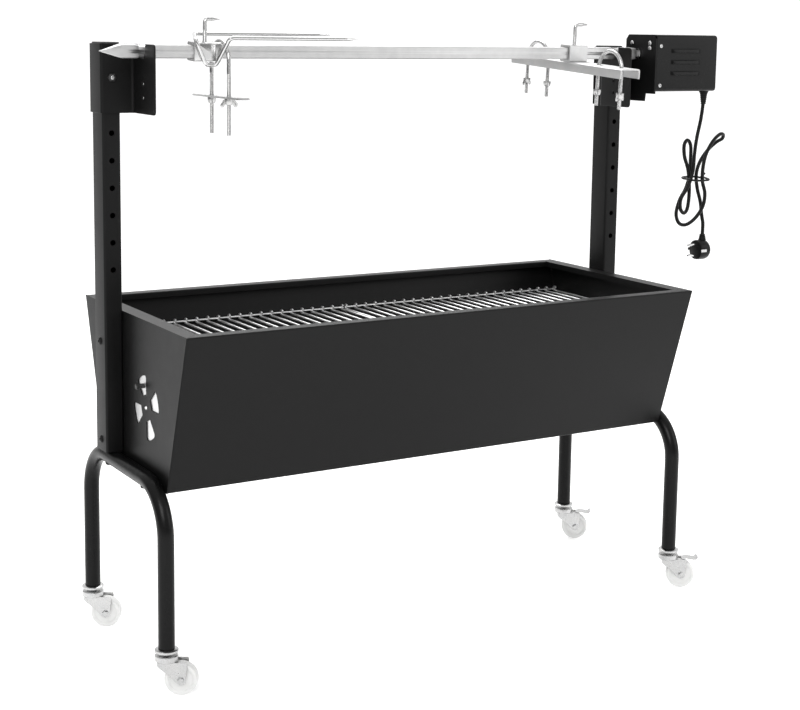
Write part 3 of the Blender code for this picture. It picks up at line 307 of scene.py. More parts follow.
def merged(*shells):
    """Several shells as one list of points and faces."""
    points, faces, count = [], [], 0
    for some, their in shells:
        points.append(some)
        faces += [[i + count for i in face] for face in their]
        count += len(some)
    return np.vstack(points), faces


def moved(shell, matrix):
    """A shell carried by a 4 by 4 matrix."""
    table = np.array(matrix, float)
    points, faces = shell
    return points @ table[:3, :3].T + table[:3, 3], faces


def bend_path(corners, radius, steps=8):
    """Straight lines with each inner corner replaced by an arc that touches both of its lines."""
    corners = np.asarray(corners, float)
    back = corners[:-2] - corners[1:-1]
    ahead = corners[2:] - corners[1:-1]
    back /= np.linalg.norm(back, axis=1)[:, None]
    ahead /= np.linalg.norm(ahead, axis=1)[:, None]
    half = np.arccos(np.clip((back * ahead).sum(1), -1, 1))[:, None] / 2
    middle = back + ahead
    middle /= np.linalg.norm(middle, axis=1)[:, None]
    radius = np.broadcast_to(np.asarray(radius, float), len(half))[:, None]
    centre = corners[1:-1] + middle * radius / np.sin(half)
    start = (corners[1:-1] + back * radius / np.tan(half) - centre) / radius
    last = (corners[1:-1] + ahead * radius / np.tan(half) - centre) / radius
    turn = np.pi - 2 * half[:, None]
    share = np.linspace(0, 1, steps + 1)[None, :, None]
    arc = (np.sin((1 - share) * turn) * start[:, None] + np.sin(share * turn) * last[:, None]) / np.sin(turn)
    arc = (centre[:, None] + arc * radius[:, None]).reshape(-1, 3)
    return np.vstack([corners[:1], arc, corners[-1:]])


def lengths(path):
    """Distance along a path at each of its points."""
    return np.concatenate([[0], np.cumsum(np.linalg.norm(np.diff(path, axis=0), axis=1))])


def walk(path, stations):
    """Points at given distances along a path."""
    along = lengths(path)
    return np.stack([np.interp(stations, along, path[:, k]) for k in range(3)], axis=1)


def rod(path, radius, sides=20, across=(0, 1, 0), other=None):
    """A round rod: at each point a circle square to the path; radius may vary along and round it."""
    path = np.asarray(path, float)
    ahead = np.gradient(path, axis=0)
    ahead /= np.linalg.norm(ahead, axis=1)[:, None]
    side = np.cross(ahead, across)
    side /= np.linalg.norm(side, axis=1)[:, None]
    third = np.cross(ahead, side)
    turn = np.arange(sides) * 2 * np.pi / sides
    radius = np.asarray(radius, float)
    wide = np.broadcast_to(radius if radius.ndim == 2 else radius.reshape(-1, 1), (len(path), sides))
    tall = wide if other is None else np.broadcast_to(np.asarray(other).reshape(-1, 1), (len(path), sides))
    rings = path[:, None] + side[:, None] * (wide * np.cos(turn))[..., None]
    return skin(rings + third[:, None] * (tall * np.sin(turn))[..., None])


AXES = {"X": (1, 2, 0), "Y": (0, 2, 1), "Z": (0, 1, 2)}


def turned_shape(profile, axis="Z", centre=(0, 0, 0), sides=40, loop=False):
    """A profile of radius and height spun about an axis: x = r cos t, y = r sin t, z = h."""
    radius, along = np.asarray(profile, float).T
    turn = np.arange(sides) * 2 * np.pi / sides
    rings = np.zeros((len(radius), sides, 3))
    a, b, c = AXES[axis]
    rings[..., a] = radius[:, None] * np.cos(turn)
    rings[..., b] = radius[:, None] * np.sin(turn)
    rings[..., c] = along[:, None]
    return skin(rings + np.asarray(centre), loop)


def prism(outline, axis, low, high):
    """A closed outline carried straight along an axis."""
    outline = np.asarray(outline, float)
    rings = np.zeros((2, len(outline), 3))
    a, b, c = AXES[axis]
    rings[..., a], rings[..., b] = outline[:, 0], outline[:, 1]
    rings[0, :, c], rings[1, :, c] = low, high
    return skin(rings)


def plate(outlines, axis, low, high):
    """A flat sheet with holes: both faces filled by triangles between the outlines, and their rims."""
    a, b, c = AXES[axis]
    points, faces, count = [], [], sum(len(line) for line in outlines)
    flat = [[Vector((p[0], p[1], 0)) for p in line] for line in outlines]
    triangles = [list(face) for face in tessellate_polygon(flat)]
    layer = np.zeros((2, count, 3))
    layer[..., a], layer[..., b] = np.vstack([np.asarray(line, float) for line in outlines]).T[:, None]
    layer[0, :, c], layer[1, :, c] = low, high
    corners = layer[0][np.array(triangles)][..., [a, b]]
    first, second = corners[:, 1] - corners[:, 0], corners[:, 2] - corners[:, 0]
    turned_over = first[:, 0] * second[:, 1] < first[:, 1] * second[:, 0]
    triangles = [face[::-1] if over else face for face, over in zip(triangles, turned_over)]
    faces = [face[::-1] for face in triangles] + [[i + count for i in face] for face in triangles]
    begin = 0
    for number, line in enumerate(outlines):
        x, y = np.asarray(line, float).T
        area = (x * np.roll(y, -1) - y * np.roll(x, -1)).sum()
        i = np.arange(len(line)) + begin
        j = np.roll(i, -1)
        keeps = (area > 0) == (number == 0)
        rim = np.stack([i, j, j + count, i + count] if keeps else [j, i, i + count, j + count], -1)
        faces += rim.tolist()
        begin += len(line)
    return layer.reshape(-1, 3), faces


def ring_line(a, b, radius, sides=32):
    """A circle as an outline."""
    turn = np.arange(sides) * 2 * np.pi / sides
    return np.stack([a + radius * np.cos(turn), b + radius * np.sin(turn)], 1)


def rounded(low, high, radius, steps=6):
    """A rectangle with rounded corners as an outline, anticlockwise."""
    turn = np.radians(np.linspace(0, 90, steps + 1))
    turn = (turn[None, :] + np.radians([[0], [90], [180], [270]])).reshape(-1)
    signs = np.repeat([[1, 1], [-1, 1], [-1, -1], [1, -1]], steps + 1, axis=0)
    middle, half = (np.asarray(low) + high) / 2, (np.asarray(high) - low) / 2 - radius
    return middle + signs * half + radius * np.stack([np.cos(turn), np.sin(turn)], 1)


def folded(line, thickness, radius, steps=6):
    """A sheet seen edge-on: a bent line and the same line moved sideways by the thickness."""
    line = bend_path(np.column_stack([line, np.zeros(len(line))]), radius, steps)[:, :2]
    ahead = np.gradient(line, axis=0)
    ahead /= np.linalg.norm(ahead, axis=1)[:, None]
    inside = line + thickness * np.stack([-ahead[:, 1], ahead[:, 0]], 1)
    return np.vstack([line, inside[::-1]])


# %% [markdown]
# ## From shells to pieces
# A piece needs a mesh that faces outwards, smooth shading broken at its true edges, a material
# and a body to ride on. Holes through folded metal are cut with Booleans, because a drill is
# exactly that, and the result is applied so that nothing stays live.

# %% Piece helpers
def piece(name, shell, finish):
    """A mesh object from a shell, right side out, smooth with sharp edges over 35 degrees."""
    mesh = bpy.data.meshes.new(name)
    mesh.from_pydata(shell[0].tolist(), [], shell[1])
    mesh.validate()
    face_out(mesh)
    made = bpy.data.objects.new(name, mesh)
    bpy.context.scene.collection.objects.link(made)
    settle(made, finish)
    return made


def face_out(mesh):
    """Turn a mesh the right way by the sign of its volume."""
    mesh.calc_loop_triangles()
    corner = np.zeros(len(mesh.loop_triangles) * 3, np.int32)
    mesh.loop_triangles.foreach_get("vertices", corner)
    place = np.zeros(len(mesh.vertices) * 3)
    mesh.vertices.foreach_get("co", place)
    a, b, c = place.reshape(-1, 3)[corner.reshape(-1, 3)].transpose(1, 0, 2)
    if (a * np.cross(b, c)).sum() < 0:
        mesh.flip_normals()


def settle(made, finish, angle=35):
    """Give a piece its material and shading."""
    made.data.materials.clear()
    made.data.materials.append(finish)
    made.data.polygons.foreach_set("use_smooth", np.ones(len(made.data.polygons), bool))
    made.data.polygons.foreach_set("material_index", np.zeros(len(made.data.polygons), np.int32))
    made.data.set_sharp_from_angle(angle=math.radians(angle))
    made.data.update()


def solid(made, tool, operation="DIFFERENCE"):
    """Cut a shell out of a piece, or weld it on."""
    helper = piece("tool", tool, made.data.materials[0])
    step = made.modifiers.new("cut", "BOOLEAN")
    step.operation, step.solver, step.object = operation, "EXACT", helper
    bpy.context.view_layer.update()
    mesh = bpy.data.meshes.new_from_object(made.evaluated_get(bpy.context.evaluated_depsgraph_get()))
    made.modifiers.clear()
    made.data = mesh
    bpy.data.objects.remove(helper, do_unlink=True)
    settle(made, bpy.data.materials[mesh.materials[0].name])
    return made


def soften(made, width, segments=2, angle=50):
    """Round a piece's sharp edges a little, so that they catch the light."""
    step = made.modifiers.new("soften", "BEVEL")
    step.width, step.segments, step.limit_method = width, segments, "ANGLE"
    step.angle_limit, step.harden_normals = math.radians(angle), False
    step.use_clamp_overlap = True
    return made


def stand_for(made, *nodes, body=None):
    """Ride on the nodes' body and hide them."""
    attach(made, body or BODY_OF[nodes[0]])
    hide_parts(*nodes)
    return made


def along_with(made, node):
    """Ride on a node's body without hiding it."""
    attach(made, BODY_OF[node])
    return made


def spit_turn():
    """The turn about the spit's axis that the bar rests at."""
    lift = Matrix.Translation((0, 0, SPIT_Z))
    return lift @ Matrix.Rotation(SPIT_TURN, 4, "X") @ lift.inverted()


SWING = spit_turn()

# %% [markdown]
# ## The mains cord
# The lead leaves a strain relief in the motor box's floor, hangs down, is bundled by a wire tie
# and ends in an angled plug. It is one smooth curve through route points, rounded by the
# Catmull-Rom formula, with a round bevel.

# %% Cord, strain relief and tie
GLAND = (0.570, -0.030)
COVER_FLOOR = 0.881
CORD = 0.0033
ROUTE = np.array([
    (0.570, -0.030, 0.884), (0.570, -0.030, 0.862), (0.566, -0.030, 0.830), (0.558, -0.030, 0.795),
    (0.553, -0.031, 0.765), (0.551, -0.031, 0.735), (0.541, -0.031, 0.706), (0.526, -0.030, 0.684),
    (0.526, -0.029, 0.665), (0.536, -0.028, 0.656), (0.546, -0.026, 0.667), (0.550, -0.024, 0.700),
    (0.547, -0.022, 0.735), (0.538, -0.021, 0.760), (0.537, -0.020, 0.781), (0.546, -0.018, 0.790),
    (0.556, -0.016, 0.780), (0.558, -0.015, 0.755), (0.557, -0.015, 0.725), (0.548, -0.016, 0.700),
    (0.533, -0.018, 0.680), (0.524, -0.020, 0.655), (0.530, -0.022, 0.637), (0.544, -0.026, 0.634),
    (0.560, -0.032, 0.646), (0.572, -0.038, 0.668), (0.574, -0.040, 0.692), (0.567, -0.040, 0.715),
    (0.567, -0.040, 0.740), (0.574, -0.039, 0.765), (0.590, -0.038, 0.788), (0.606, -0.037, 0.800),
    (0.618, -0.034, 0.800), (0.620, -0.030, 0.792), (0.610, -0.025, 0.785), (0.592, -0.022, 0.770),
    (0.575, -0.021, 0.748), (0.568, -0.021, 0.725), (0.571, -0.022, 0.700), (0.578, -0.024, 0.675),
    (0.580, -0.027, 0.650), (0.581, -0.030, 0.635), (0.581, -0.030, 0.615)])


def smooth_line(route, steps):
    """Catmull-Rom curve: each stretch is a cubic set by the two points before and after it."""
    ends = np.vstack([route[:1], route, route[-1:]])
    a, b, c, d = (ends[k:len(ends) - 3 + k, None] for k in range(4))
    t = (np.arange(steps) / steps)[None, :, None]
    curve = 0.5 * (2 * b + (c - a) * t + (2 * a - 5 * b + 4 * c - d) * t ** 2
                   + (3 * b - a - 3 * c + d) * t ** 3)
    return np.vstack([curve.reshape(-1, 3), route[-1:]])


cord_line = smooth_line(ROUTE, 6)
jacket = bpy.data.curves.new("mains_cord", "CURVE")
jacket.dimensions, jacket.bevel_depth, jacket.bevel_resolution = "3D", CORD, 4
jacket.use_fill_caps = True
run = jacket.splines.new("POLY")
run.points.add(len(cord_line) - 1)
run.points.foreach_set("co", np.column_stack([cord_line, np.ones(len(cord_line))]).ravel())
cord = bpy.data.objects.new("mains_cord", jacket)
bpy.context.scene.collection.objects.link(cord)
jacket.materials.append(vinyl)

ribs = np.linspace(0, 1, 61)
relief_outside = 0.0072 - 0.0026 * ribs - 0.0007 * (np.sin(ribs * 6 * 2 * np.pi) > 0.2) * (ribs > 0.15)
relief = np.vstack([[(CORD, 0.885), (0.0057, 0.885), (0.0057, COVER_FLOOR - GAP),
                     (0.0085, COVER_FLOOR - GAP), (0.0085, COVER_FLOOR - 0.003)],
                    np.column_stack([relief_outside, COVER_FLOOR - 0.0032 - 0.021 * ribs]),
                    [(CORD, COVER_FLOOR - 0.0245)]])
strain_relief = piece("strain_relief", turned_shape(relief, "Z", (*GLAND, 0), 32, loop=True), vinyl)
stand_for(strain_relief, "cord_gland")

tie_ring = rounded((0.5400, -0.0480), (0.5820, -0.0070), 0.012, 8)
tie_path = np.column_stack([tie_ring, 0.719 + 0.0016 * np.sin(np.linspace(0, 2 * np.pi, len(tie_ring)))])
tie_path = np.vstack([tie_path, tie_path[:1] + (0, 0, 0.0026), tie_path[:1] + (0.006, -0.004, 0.009)])
tie = piece("cord_tie_wire", rod(tie_path, 0.0019, 12, across=(0, 0, 1)), vinyl)
stand_for(tie, "cord_tie")

# %% [markdown]
# ## The plug
# An angled earthed plug: a short round grip that faces sideways, a ribbed sleeve for the cord,
# two round pins and two earth clips at the rim. Body, pins and clips are different materials,
# so they are separate pieces. Two shallow flats on the grip are a radius that changes with the angle.

# %% Plug
PLUG = (0.581, -0.030, 0.586)
around = np.linspace(0, 2 * np.pi, 48, endpoint=False)
along = np.array([0.0095, 0.0098, 0.0085, 0.006, 0.002, -0.004, -0.010, -0.014, -0.0155, -0.016])
size = np.array([0.006, 0.0115, 0.0145, 0.0168, 0.0182, 0.0185, 0.0183, 0.0180, 0.0176, 0.0165])
flats = 1 - 0.05 * np.abs(np.cos(around)) ** 6 * (along[:, None] < 0.004)
rings = np.zeros((len(along), len(around), 3))
rings[..., 0] = along[:, None]
rings[..., 1] = size[:, None] * np.cos(around) * flats
rings[..., 2] = size[:, None] * np.sin(around)
plug = piece("plug_body", skin(rings + np.array(PLUG)), vinyl)
height = np.linspace(0.004, 0.0287, 80)
sleeve = np.interp(height, [0.004, 0.014, 0.0287], [0.0092, 0.0080, 0.0052])
sleeve -= 0.0007 * (np.sin(height * 2 * np.pi / 0.0032) > 0.3) * (height > 0.015)
solid(plug, turned_shape(np.column_stack([sleeve, height]), "Z", PLUG, 32), "UNION")
stand_for(plug, "mains_plug")
pin_profile = [(0.0024, -0.0155), (0.0024, -0.0335), (0.0018, -0.0347), (0.0006, -0.0350)]
pins = [turned_shape(pin_profile, "X", (PLUG[0], PLUG[1], PLUG[2] + side * 0.0095), 20) for side in (-1, 1)]
plug_pins = along_with(piece("plug_pins", merged(*pins), chrome), "mains_plug")
clip_side = [(-0.0175, 0.0192), (-0.0165, 0.0192), (-0.0045, 0.0192), (-0.0045, 0.0184), (-0.0175, 0.0184)]
clips = []
for side in (-1, 1):
    outline = np.array(clip_side)
    strip = np.stack([PLUG[0] + outline[:, 0], PLUG[1] + side * outline[:, 1]], 1)
    clips.append(prism(strip, "Z", PLUG[2] - 0.0025, PLUG[2] + 0.0025))
plug_clips = along_with(piece("plug_earth_clips", merged(*clips), polished), "mains_plug")
cord = stand_for(cord, "power_cord")

# %% [markdown]
# ## The trough's folded sheet
# Bottom, two leaning walls and two rim flanges with lips are one sheet, bent six times. Its
# section is a bent line given a thickness, carried from end to end. The flanges stop short of
# the ends in a mitre: where the line lies on a flange it is inset as much as it lies inwards.

# %% Trough
def trough_section():
    """Outside of the section from lip to lip, each bend an arc."""
    edge = HALF_WIDTH - FLANGE
    line = [(-edge, RIM_Z - LIP), (-edge, RIM_Z), (-HALF_WIDTH, RIM_Z), (-FOOT, BOTTOM_Z)]
    line += [(-y, z) for y, z in reversed(line)]
    return folded(line, SHEET, (0.0022, 0.0022, 0.003, 0.003, 0.0022, 0.0022))


section = trough_section()
on_flange = (section[:, 1] > RIM_Z - LIP - 0.001) & (np.abs(section[:, 0]) < HALF_WIDTH - 0.0045)
inset = np.where(on_flange, HALF_WIDTH - np.abs(section[:, 0]), 0.0)
stations = [(LEFT + 0.0018 + inset), (RIGHT - 0.0018 - inset)]
rings = np.stack([np.column_stack([x, section]) for x in stations])
shell = piece("trough_sheet", skin(rings), coat)
stand_for(shell, "trough_shell")
print("trough sheet", len(shell.data.polygons), "faces")

# %% [markdown]
# ## End sheets and their vents
# Each end is an upright sheet with four petal-shaped vent openings, a rim flange and a lip. A
# petal is a sector with rounded outer corners. The zinc damper behind it turns on a rivet, and
# its black knob comes through the top petal.


# %% End sheets
def petal(middle, half_angle, inner=0.021, outer=0.0495, corner=0.003):
    """One opening: two straight sides from a short inner edge to a round outer one."""
    swing = np.radians(half_angle)
    outside = swing - corner / outer
    arc = np.linspace(-outside, outside, 14)
    edge = np.column_stack([outer * np.cos(arc), outer * np.sin(arc)])
    near = outer - corner
    sides = np.array([[near * math.cos(swing), near * math.sin(swing)],
                      [inner * math.cos(swing), inner * math.sin(swing)]])
    outline = np.vstack([edge, sides, sides[::-1] * (1, -1)])
    turn = math.radians(VENT_TURN + middle)
    spin = np.array([[math.cos(turn), math.sin(turn)], [-math.sin(turn), math.cos(turn)]])
    return outline @ spin + (VENT_Y, VENT_Z)


def end_sheet(name, outside, inward):
    """Sheet, flange and lip of one end."""
    wall = [(-HALF_WIDTH, RIM_Z), (-FOOT, BOTTOM_Z), (FOOT, BOTTOM_Z), (HALF_WIDTH, RIM_Z)]
    holes = [petal(turn, 21.5) for turn in (0, 90, 180, 270)] + [ring_line(VENT_Y, VENT_Z, 0.0035, 24)]
    made = piece(name, plate([wall] + holes, "X", outside, outside + inward * SHEET), coat)
    near, far = outside + inward * 0.0006, outside + inward * (0.0018 + FLANGE)
    wide, narrow = HALF_WIDTH - 0.0024, HALF_WIDTH - FLANGE - GAP
    flange = [(near, -wide), (far, -narrow), (far, narrow), (near, wide)]
    solid(made, prism(flange, "Z", RIM_Z - SHEET, RIM_Z), "UNION")
    lip = [(far, -narrow), (far, narrow), (far - inward * SHEET, narrow), (far - inward * SHEET, -narrow)]
    solid(made, prism(lip, "Z", RIM_Z - LIP, RIM_Z - 0.0006), "UNION")
    return soften(made, 0.0005)


def damper(tail, outside, inward):
    """Zinc disc with openings behind the webs, its rivet, and the knob as a piece of its own."""
    near = outside + inward * (SHEET + GAP)
    far = near + inward * 0.0012
    openings = [petal(turn, 22) for turn in (45, 135, 225, 315)]
    disc = plate([ring_line(VENT_Y, VENT_Z, 0.0555, 72)] + openings, "X", near, far)
    rivet = [(0.0005, -0.0020), (0.0018, -0.0018), (0.0028, -0.0008), (0.0030, 0.0), (0.0030, 0.0026),
             (0.0005, 0.0026)]
    rivet = np.array(rivet) * (1, inward) + (0, outside)
    made = piece(f"damper_disc_{tail}", merged(disc, turned_shape(rivet, "X", (0, VENT_Y, VENT_Z), 24)),
                 pale_zinc)
    stand_for(made, f"vent_damper_{tail}")
    knob = [(0.0006, -0.0120), (0.0035, -0.0118), (0.0044, -0.0110), (0.0045, -0.0100), (0.0042, -0.0060),
            (0.0038, -0.0030), (0.0038, 0.0014), (0.0006, 0.0014)]
    knob = np.array(knob) * (1, inward) + (0, outside)
    turn = math.radians(VENT_TURN)
    knob_place = VENT_Y + 0.034 * math.cos(turn), VENT_Z + 0.034 * math.sin(turn)
    knob = piece(f"damper_knob_{tail}", turned_shape(knob, "X", (0, *knob_place), 32), cap_plastic)
    along_with(knob, f"vent_damper_{tail}")


for tail, outside, inward in (("left", LEFT, 1), ("right", RIGHT, -1)):
    stand_for(end_sheet(f"end_sheet_{tail}", outside, inward), f"end_plate_{tail}")
    damper(tail, outside, inward)
print("ends made")

# %% [markdown]
# ## Cooking grates
# Two chromed wire grates lie side by side. Each has round bars across the trough, resting on
# two long wires near the walls, with the bars' ends bent down round them. The bars are copies
# of one path moved along X, so they are worked out together.

# %% Grates
GRATE_Z, BAR = 0.492, 0.0021
GRATE_HALF = 0.1868


def grate(name, start, length, count=23):
    """Bars whose ends curl up round two edge wires, over two support wires."""
    low, curl = GRATE_Z - BAR, 0.0038
    edge = GRATE_HALF - curl - BAR
    turn = np.radians(np.linspace(-90, 150, 9))
    hook = np.column_stack([0 * turn, edge + curl * np.cos(turn), low + curl + curl * np.sin(turn)])
    bar_path = np.vstack([hook[::-1] * (1, -1, 1), hook])
    places = start + 0.0035 + np.arange(count + 1) * (length - 0.007) / count
    shells = [rod(bar_path + (x, 0, 0), BAR, 12, across=(1, 0, 0)) for x in places]
    ends = np.linspace(start + 0.001, start + length - 0.001, 3)
    for y, z in ((-edge, low + curl), (edge, low + curl), (-0.055, low - 0.0042), (0.055, low - 0.0042)):
        shells.append(rod([(x, y, z) for x in ends], 0.0016, 10))
    # The bars' pale metal is partly painted light from above.
    return piece(name, merged(*shells), grate_chrome_painted_bright)


GRATE_LONG = 0.940 / 2 - 0.0024
stand_for(grate("grate_wires_left", LEFT + 0.0021, GRATE_LONG), "cooking_grate_left")
stand_for(grate("grate_wires_right", MIDDLE + GAP, GRATE_LONG), "cooking_grate_right")
print("grates made")

# %% [markdown]
# ## Leg frames
# Each is one steel tube bent twice: down, across under the trough and down again. Forty sides
# keep its highlight smooth. The open ends take the casters, so the tube has a bore.

# %% Leg frames
def leg_tube(name, x):
    """The bent tube, bored at both ends for the caster plugs."""
    bar_z = BOTTOM_Z + TUBE
    corners = [(x, -LEG_Y, LEG_END), (x, -LEG_Y, bar_z), (x, LEG_Y, bar_z), (x, LEG_Y, LEG_END)]
    path = bend_path(corners, 0.075, 16)
    made = piece(name, rod(path, TUBE, 40, across=(1, 0, 0)), tube_coat)
    plug = [(0.0005, LEG_END - 0.001), (0.0109, LEG_END - 0.001), (0.0109, LEG_END + 0.024),
            (0.0005, LEG_END + 0.024)]
    for y in (-LEG_Y, LEG_Y):
        solid(made, turned_shape(plug, "Z", (x, y, 0), 32))
    return made


for tail, side in (("left", -1), ("right", 1)):
    leg_x = MIDDLE + side * (HALF_LENGTH + GAP + TUBE)
    stand_for(leg_tube(f"leg_tube_{tail}", leg_x), f"leg_frame_{tail}")
print("legs made")

# %% [markdown]
# ## Casters
# Under each leg stand a raceway cap, a pressed fork, a milky wheel and its bolt. A caster is
# worked out once about its own stem and carried to its leg by a matrix; all point the same way.

# %% Casters
CASTER_YAW = math.radians(-30.8)
TRAIL, WHEEL = 0.022, 0.025


def caster_matrix(side, depth):
    spot = Matrix.Translation((MIDDLE + side * (HALF_LENGTH + GAP + TUBE), depth * LEG_Y, 0))
    return spot @ Matrix.Rotation(CASTER_YAW, 4, "Z")


def wheel_shape():
    """Crowned tread, a broad rim, a shallow dish with a hub, and a bore."""
    half = [(0.0037, 0.0097), (0.0074, 0.0097), (0.0080, 0.0091), (0.0088, 0.0080), (0.0100, 0.0077),
            (0.0165, 0.0077), (0.0178, 0.0079), (0.0185, 0.0085), (0.0194, 0.0089), (0.0225, 0.0089),
            (0.0240, 0.0082), (0.0248, 0.0065), (0.0250, 0.0040), (0.0250, 0.0)]
    profile = half + [(radius, -along) for radius, along in reversed(half[:-1])]
    return turned_shape(profile, "Y", (TRAIL, 0, WHEEL), 64, loop=True)


def fork_parts(name, matrix, finish):
    """Two cheeks, a crown and the round head, welded into one."""
    half = 0.0105
    cheek = [(-0.0130, 0.0525), (0.0310, 0.0525), (0.0322, 0.0490), (0.0302, 0.0330), (0.0295, 0.0225),
             (0.0265, 0.0190), (0.0220, 0.0178), (0.0175, 0.0190), (0.0130, 0.0235), (0.0040, 0.0330),
             (-0.0080, 0.0420), (-0.0130, 0.0470)]
    hole = ring_line(TRAIL, WHEEL, 0.0036, 20)
    made = piece(name, plate([cheek, hole], "Y", half, half + 0.002), finish)
    solid(made, plate([cheek, hole], "Y", -half - 0.002, -half), "UNION")
    crown = [(-0.0130, -0.0115), (0.0135, -0.0115), (0.0135, 0.0115), (-0.0130, 0.0115)]
    solid(made, prism(crown, "Z", 0.0505, 0.0528), "UNION")
    head = [(0.0046, 0.0510), (0.0165, 0.0517), (0.0178, 0.0532), (0.0180, 0.0575), (0.0176, 0.0602),
            (0.0160, 0.0615), (0.0046, 0.0620)]
    solid(made, turned_shape(head, "Z", (0, 0, 0), 48, loop=True), "UNION")
    made.data.transform(matrix)
    return soften(made, 0.0004)


def bolt_profile(head, shank, low, high, thick):
    """A pan head, a shank and a nut at the far end, along an axis."""
    return [(0.0004, low - thick), (head * 0.7, low - thick), (head, low - thick * 0.45), (head, low),
            (shank, low), (shank, high), (head, high), (head, high + thick * 0.8),
            (shank * 0.9, high + thick), (0.0004, high + thick)]


for end, side in (("left", -1), ("right", 1)):
    for near, depth in (("front", -1), ("rear", 1)):
        tail = f"{end}_{near}"
        matrix = caster_matrix(side, depth)
        cap = [(0.0005, 0.0925), (0.0095, 0.0925), (0.0100, 0.0920), (0.0100, 0.0702), (0.0165, 0.0700),
               (0.0178, 0.0692), (0.0180, 0.0678), (0.0180, 0.0662), (0.0172, 0.0655), (0.0041, 0.0653),
               (0.0041, 0.0546), (0.0005, 0.0545)]
        stem = moved(turned_shape(cap, "Z", (0, 0, 0), 48), matrix)
        stand_for(piece(f"caster_cap_{tail}", stem, zinc), f"caster_stem_{tail}")
        stand_for(fork_parts(f"caster_yoke_{tail}", matrix, zinc), f"caster_fork_{tail}")
        wheel = moved(wheel_shape(), matrix)
        stand_for(piece(f"wheel_{tail}", wheel, nylon), f"caster_wheel_{tail}")
        axle = turned_shape(bolt_profile(0.0050, 0.0030, -0.0128, 0.0128, 0.003), "Y", (TRAIL, 0, WHEEL), 32)
        stand_for(piece(f"wheel_bolt_{tail}", moved(axle, matrix), zinc), f"caster_axle_{tail}")
        if side > 0:
            line = [(0.0240, 0.0515), (0.0330, 0.0538), (0.0482, 0.0512), (0.0530, 0.0566)]
            tab = prism(folded(line, 0.0016, 0.004), "Y", -0.0100, 0.0100)
            tab = soften(piece(f"brake_tab_{tail}", moved(tab, matrix), zinc), 0.0004)
            stand_for(tab, f"brake_pedal_{tail}")
print("casters made")

# %% [markdown]
# ## Posts and brackets
# A post is a drawn square tube with eight holes in its front. A bracket is one sheet folded
# round the post's back and side, across its front and then forwards, with a notch for the spit.
# The bolt holds it, and button-head screws hold the post to the leg frame and the end sheet.


# %% Posts, caps and brackets
def post_x(side):
    """Low and high X of a post."""
    ends = (MIDDLE + side * 0.4703, MIDDLE + side * (0.4703 + POST_WIDE))
    return min(ends), max(ends)


def button(radius, height, centre, axis, sign, finish, name, socket=0.45):
    """Domed screw head with a recess; sign says which way along the axis it looks."""
    swell = np.linspace(0, 1, 8)
    dome = np.column_stack([radius * np.cos(swell * 1.15), height * np.sin(swell * np.pi / 2)])
    recess = [(radius * socket * 0.9, height), (radius * socket * 0.8, height * 0.35), (0.0003, height * 0.3)]
    profile = np.vstack([[(0.0003, 0), (radius, 0)], dome, recess]) * (1, sign)
    return piece(name, turned_shape(profile, axis, centre, 32), finish)


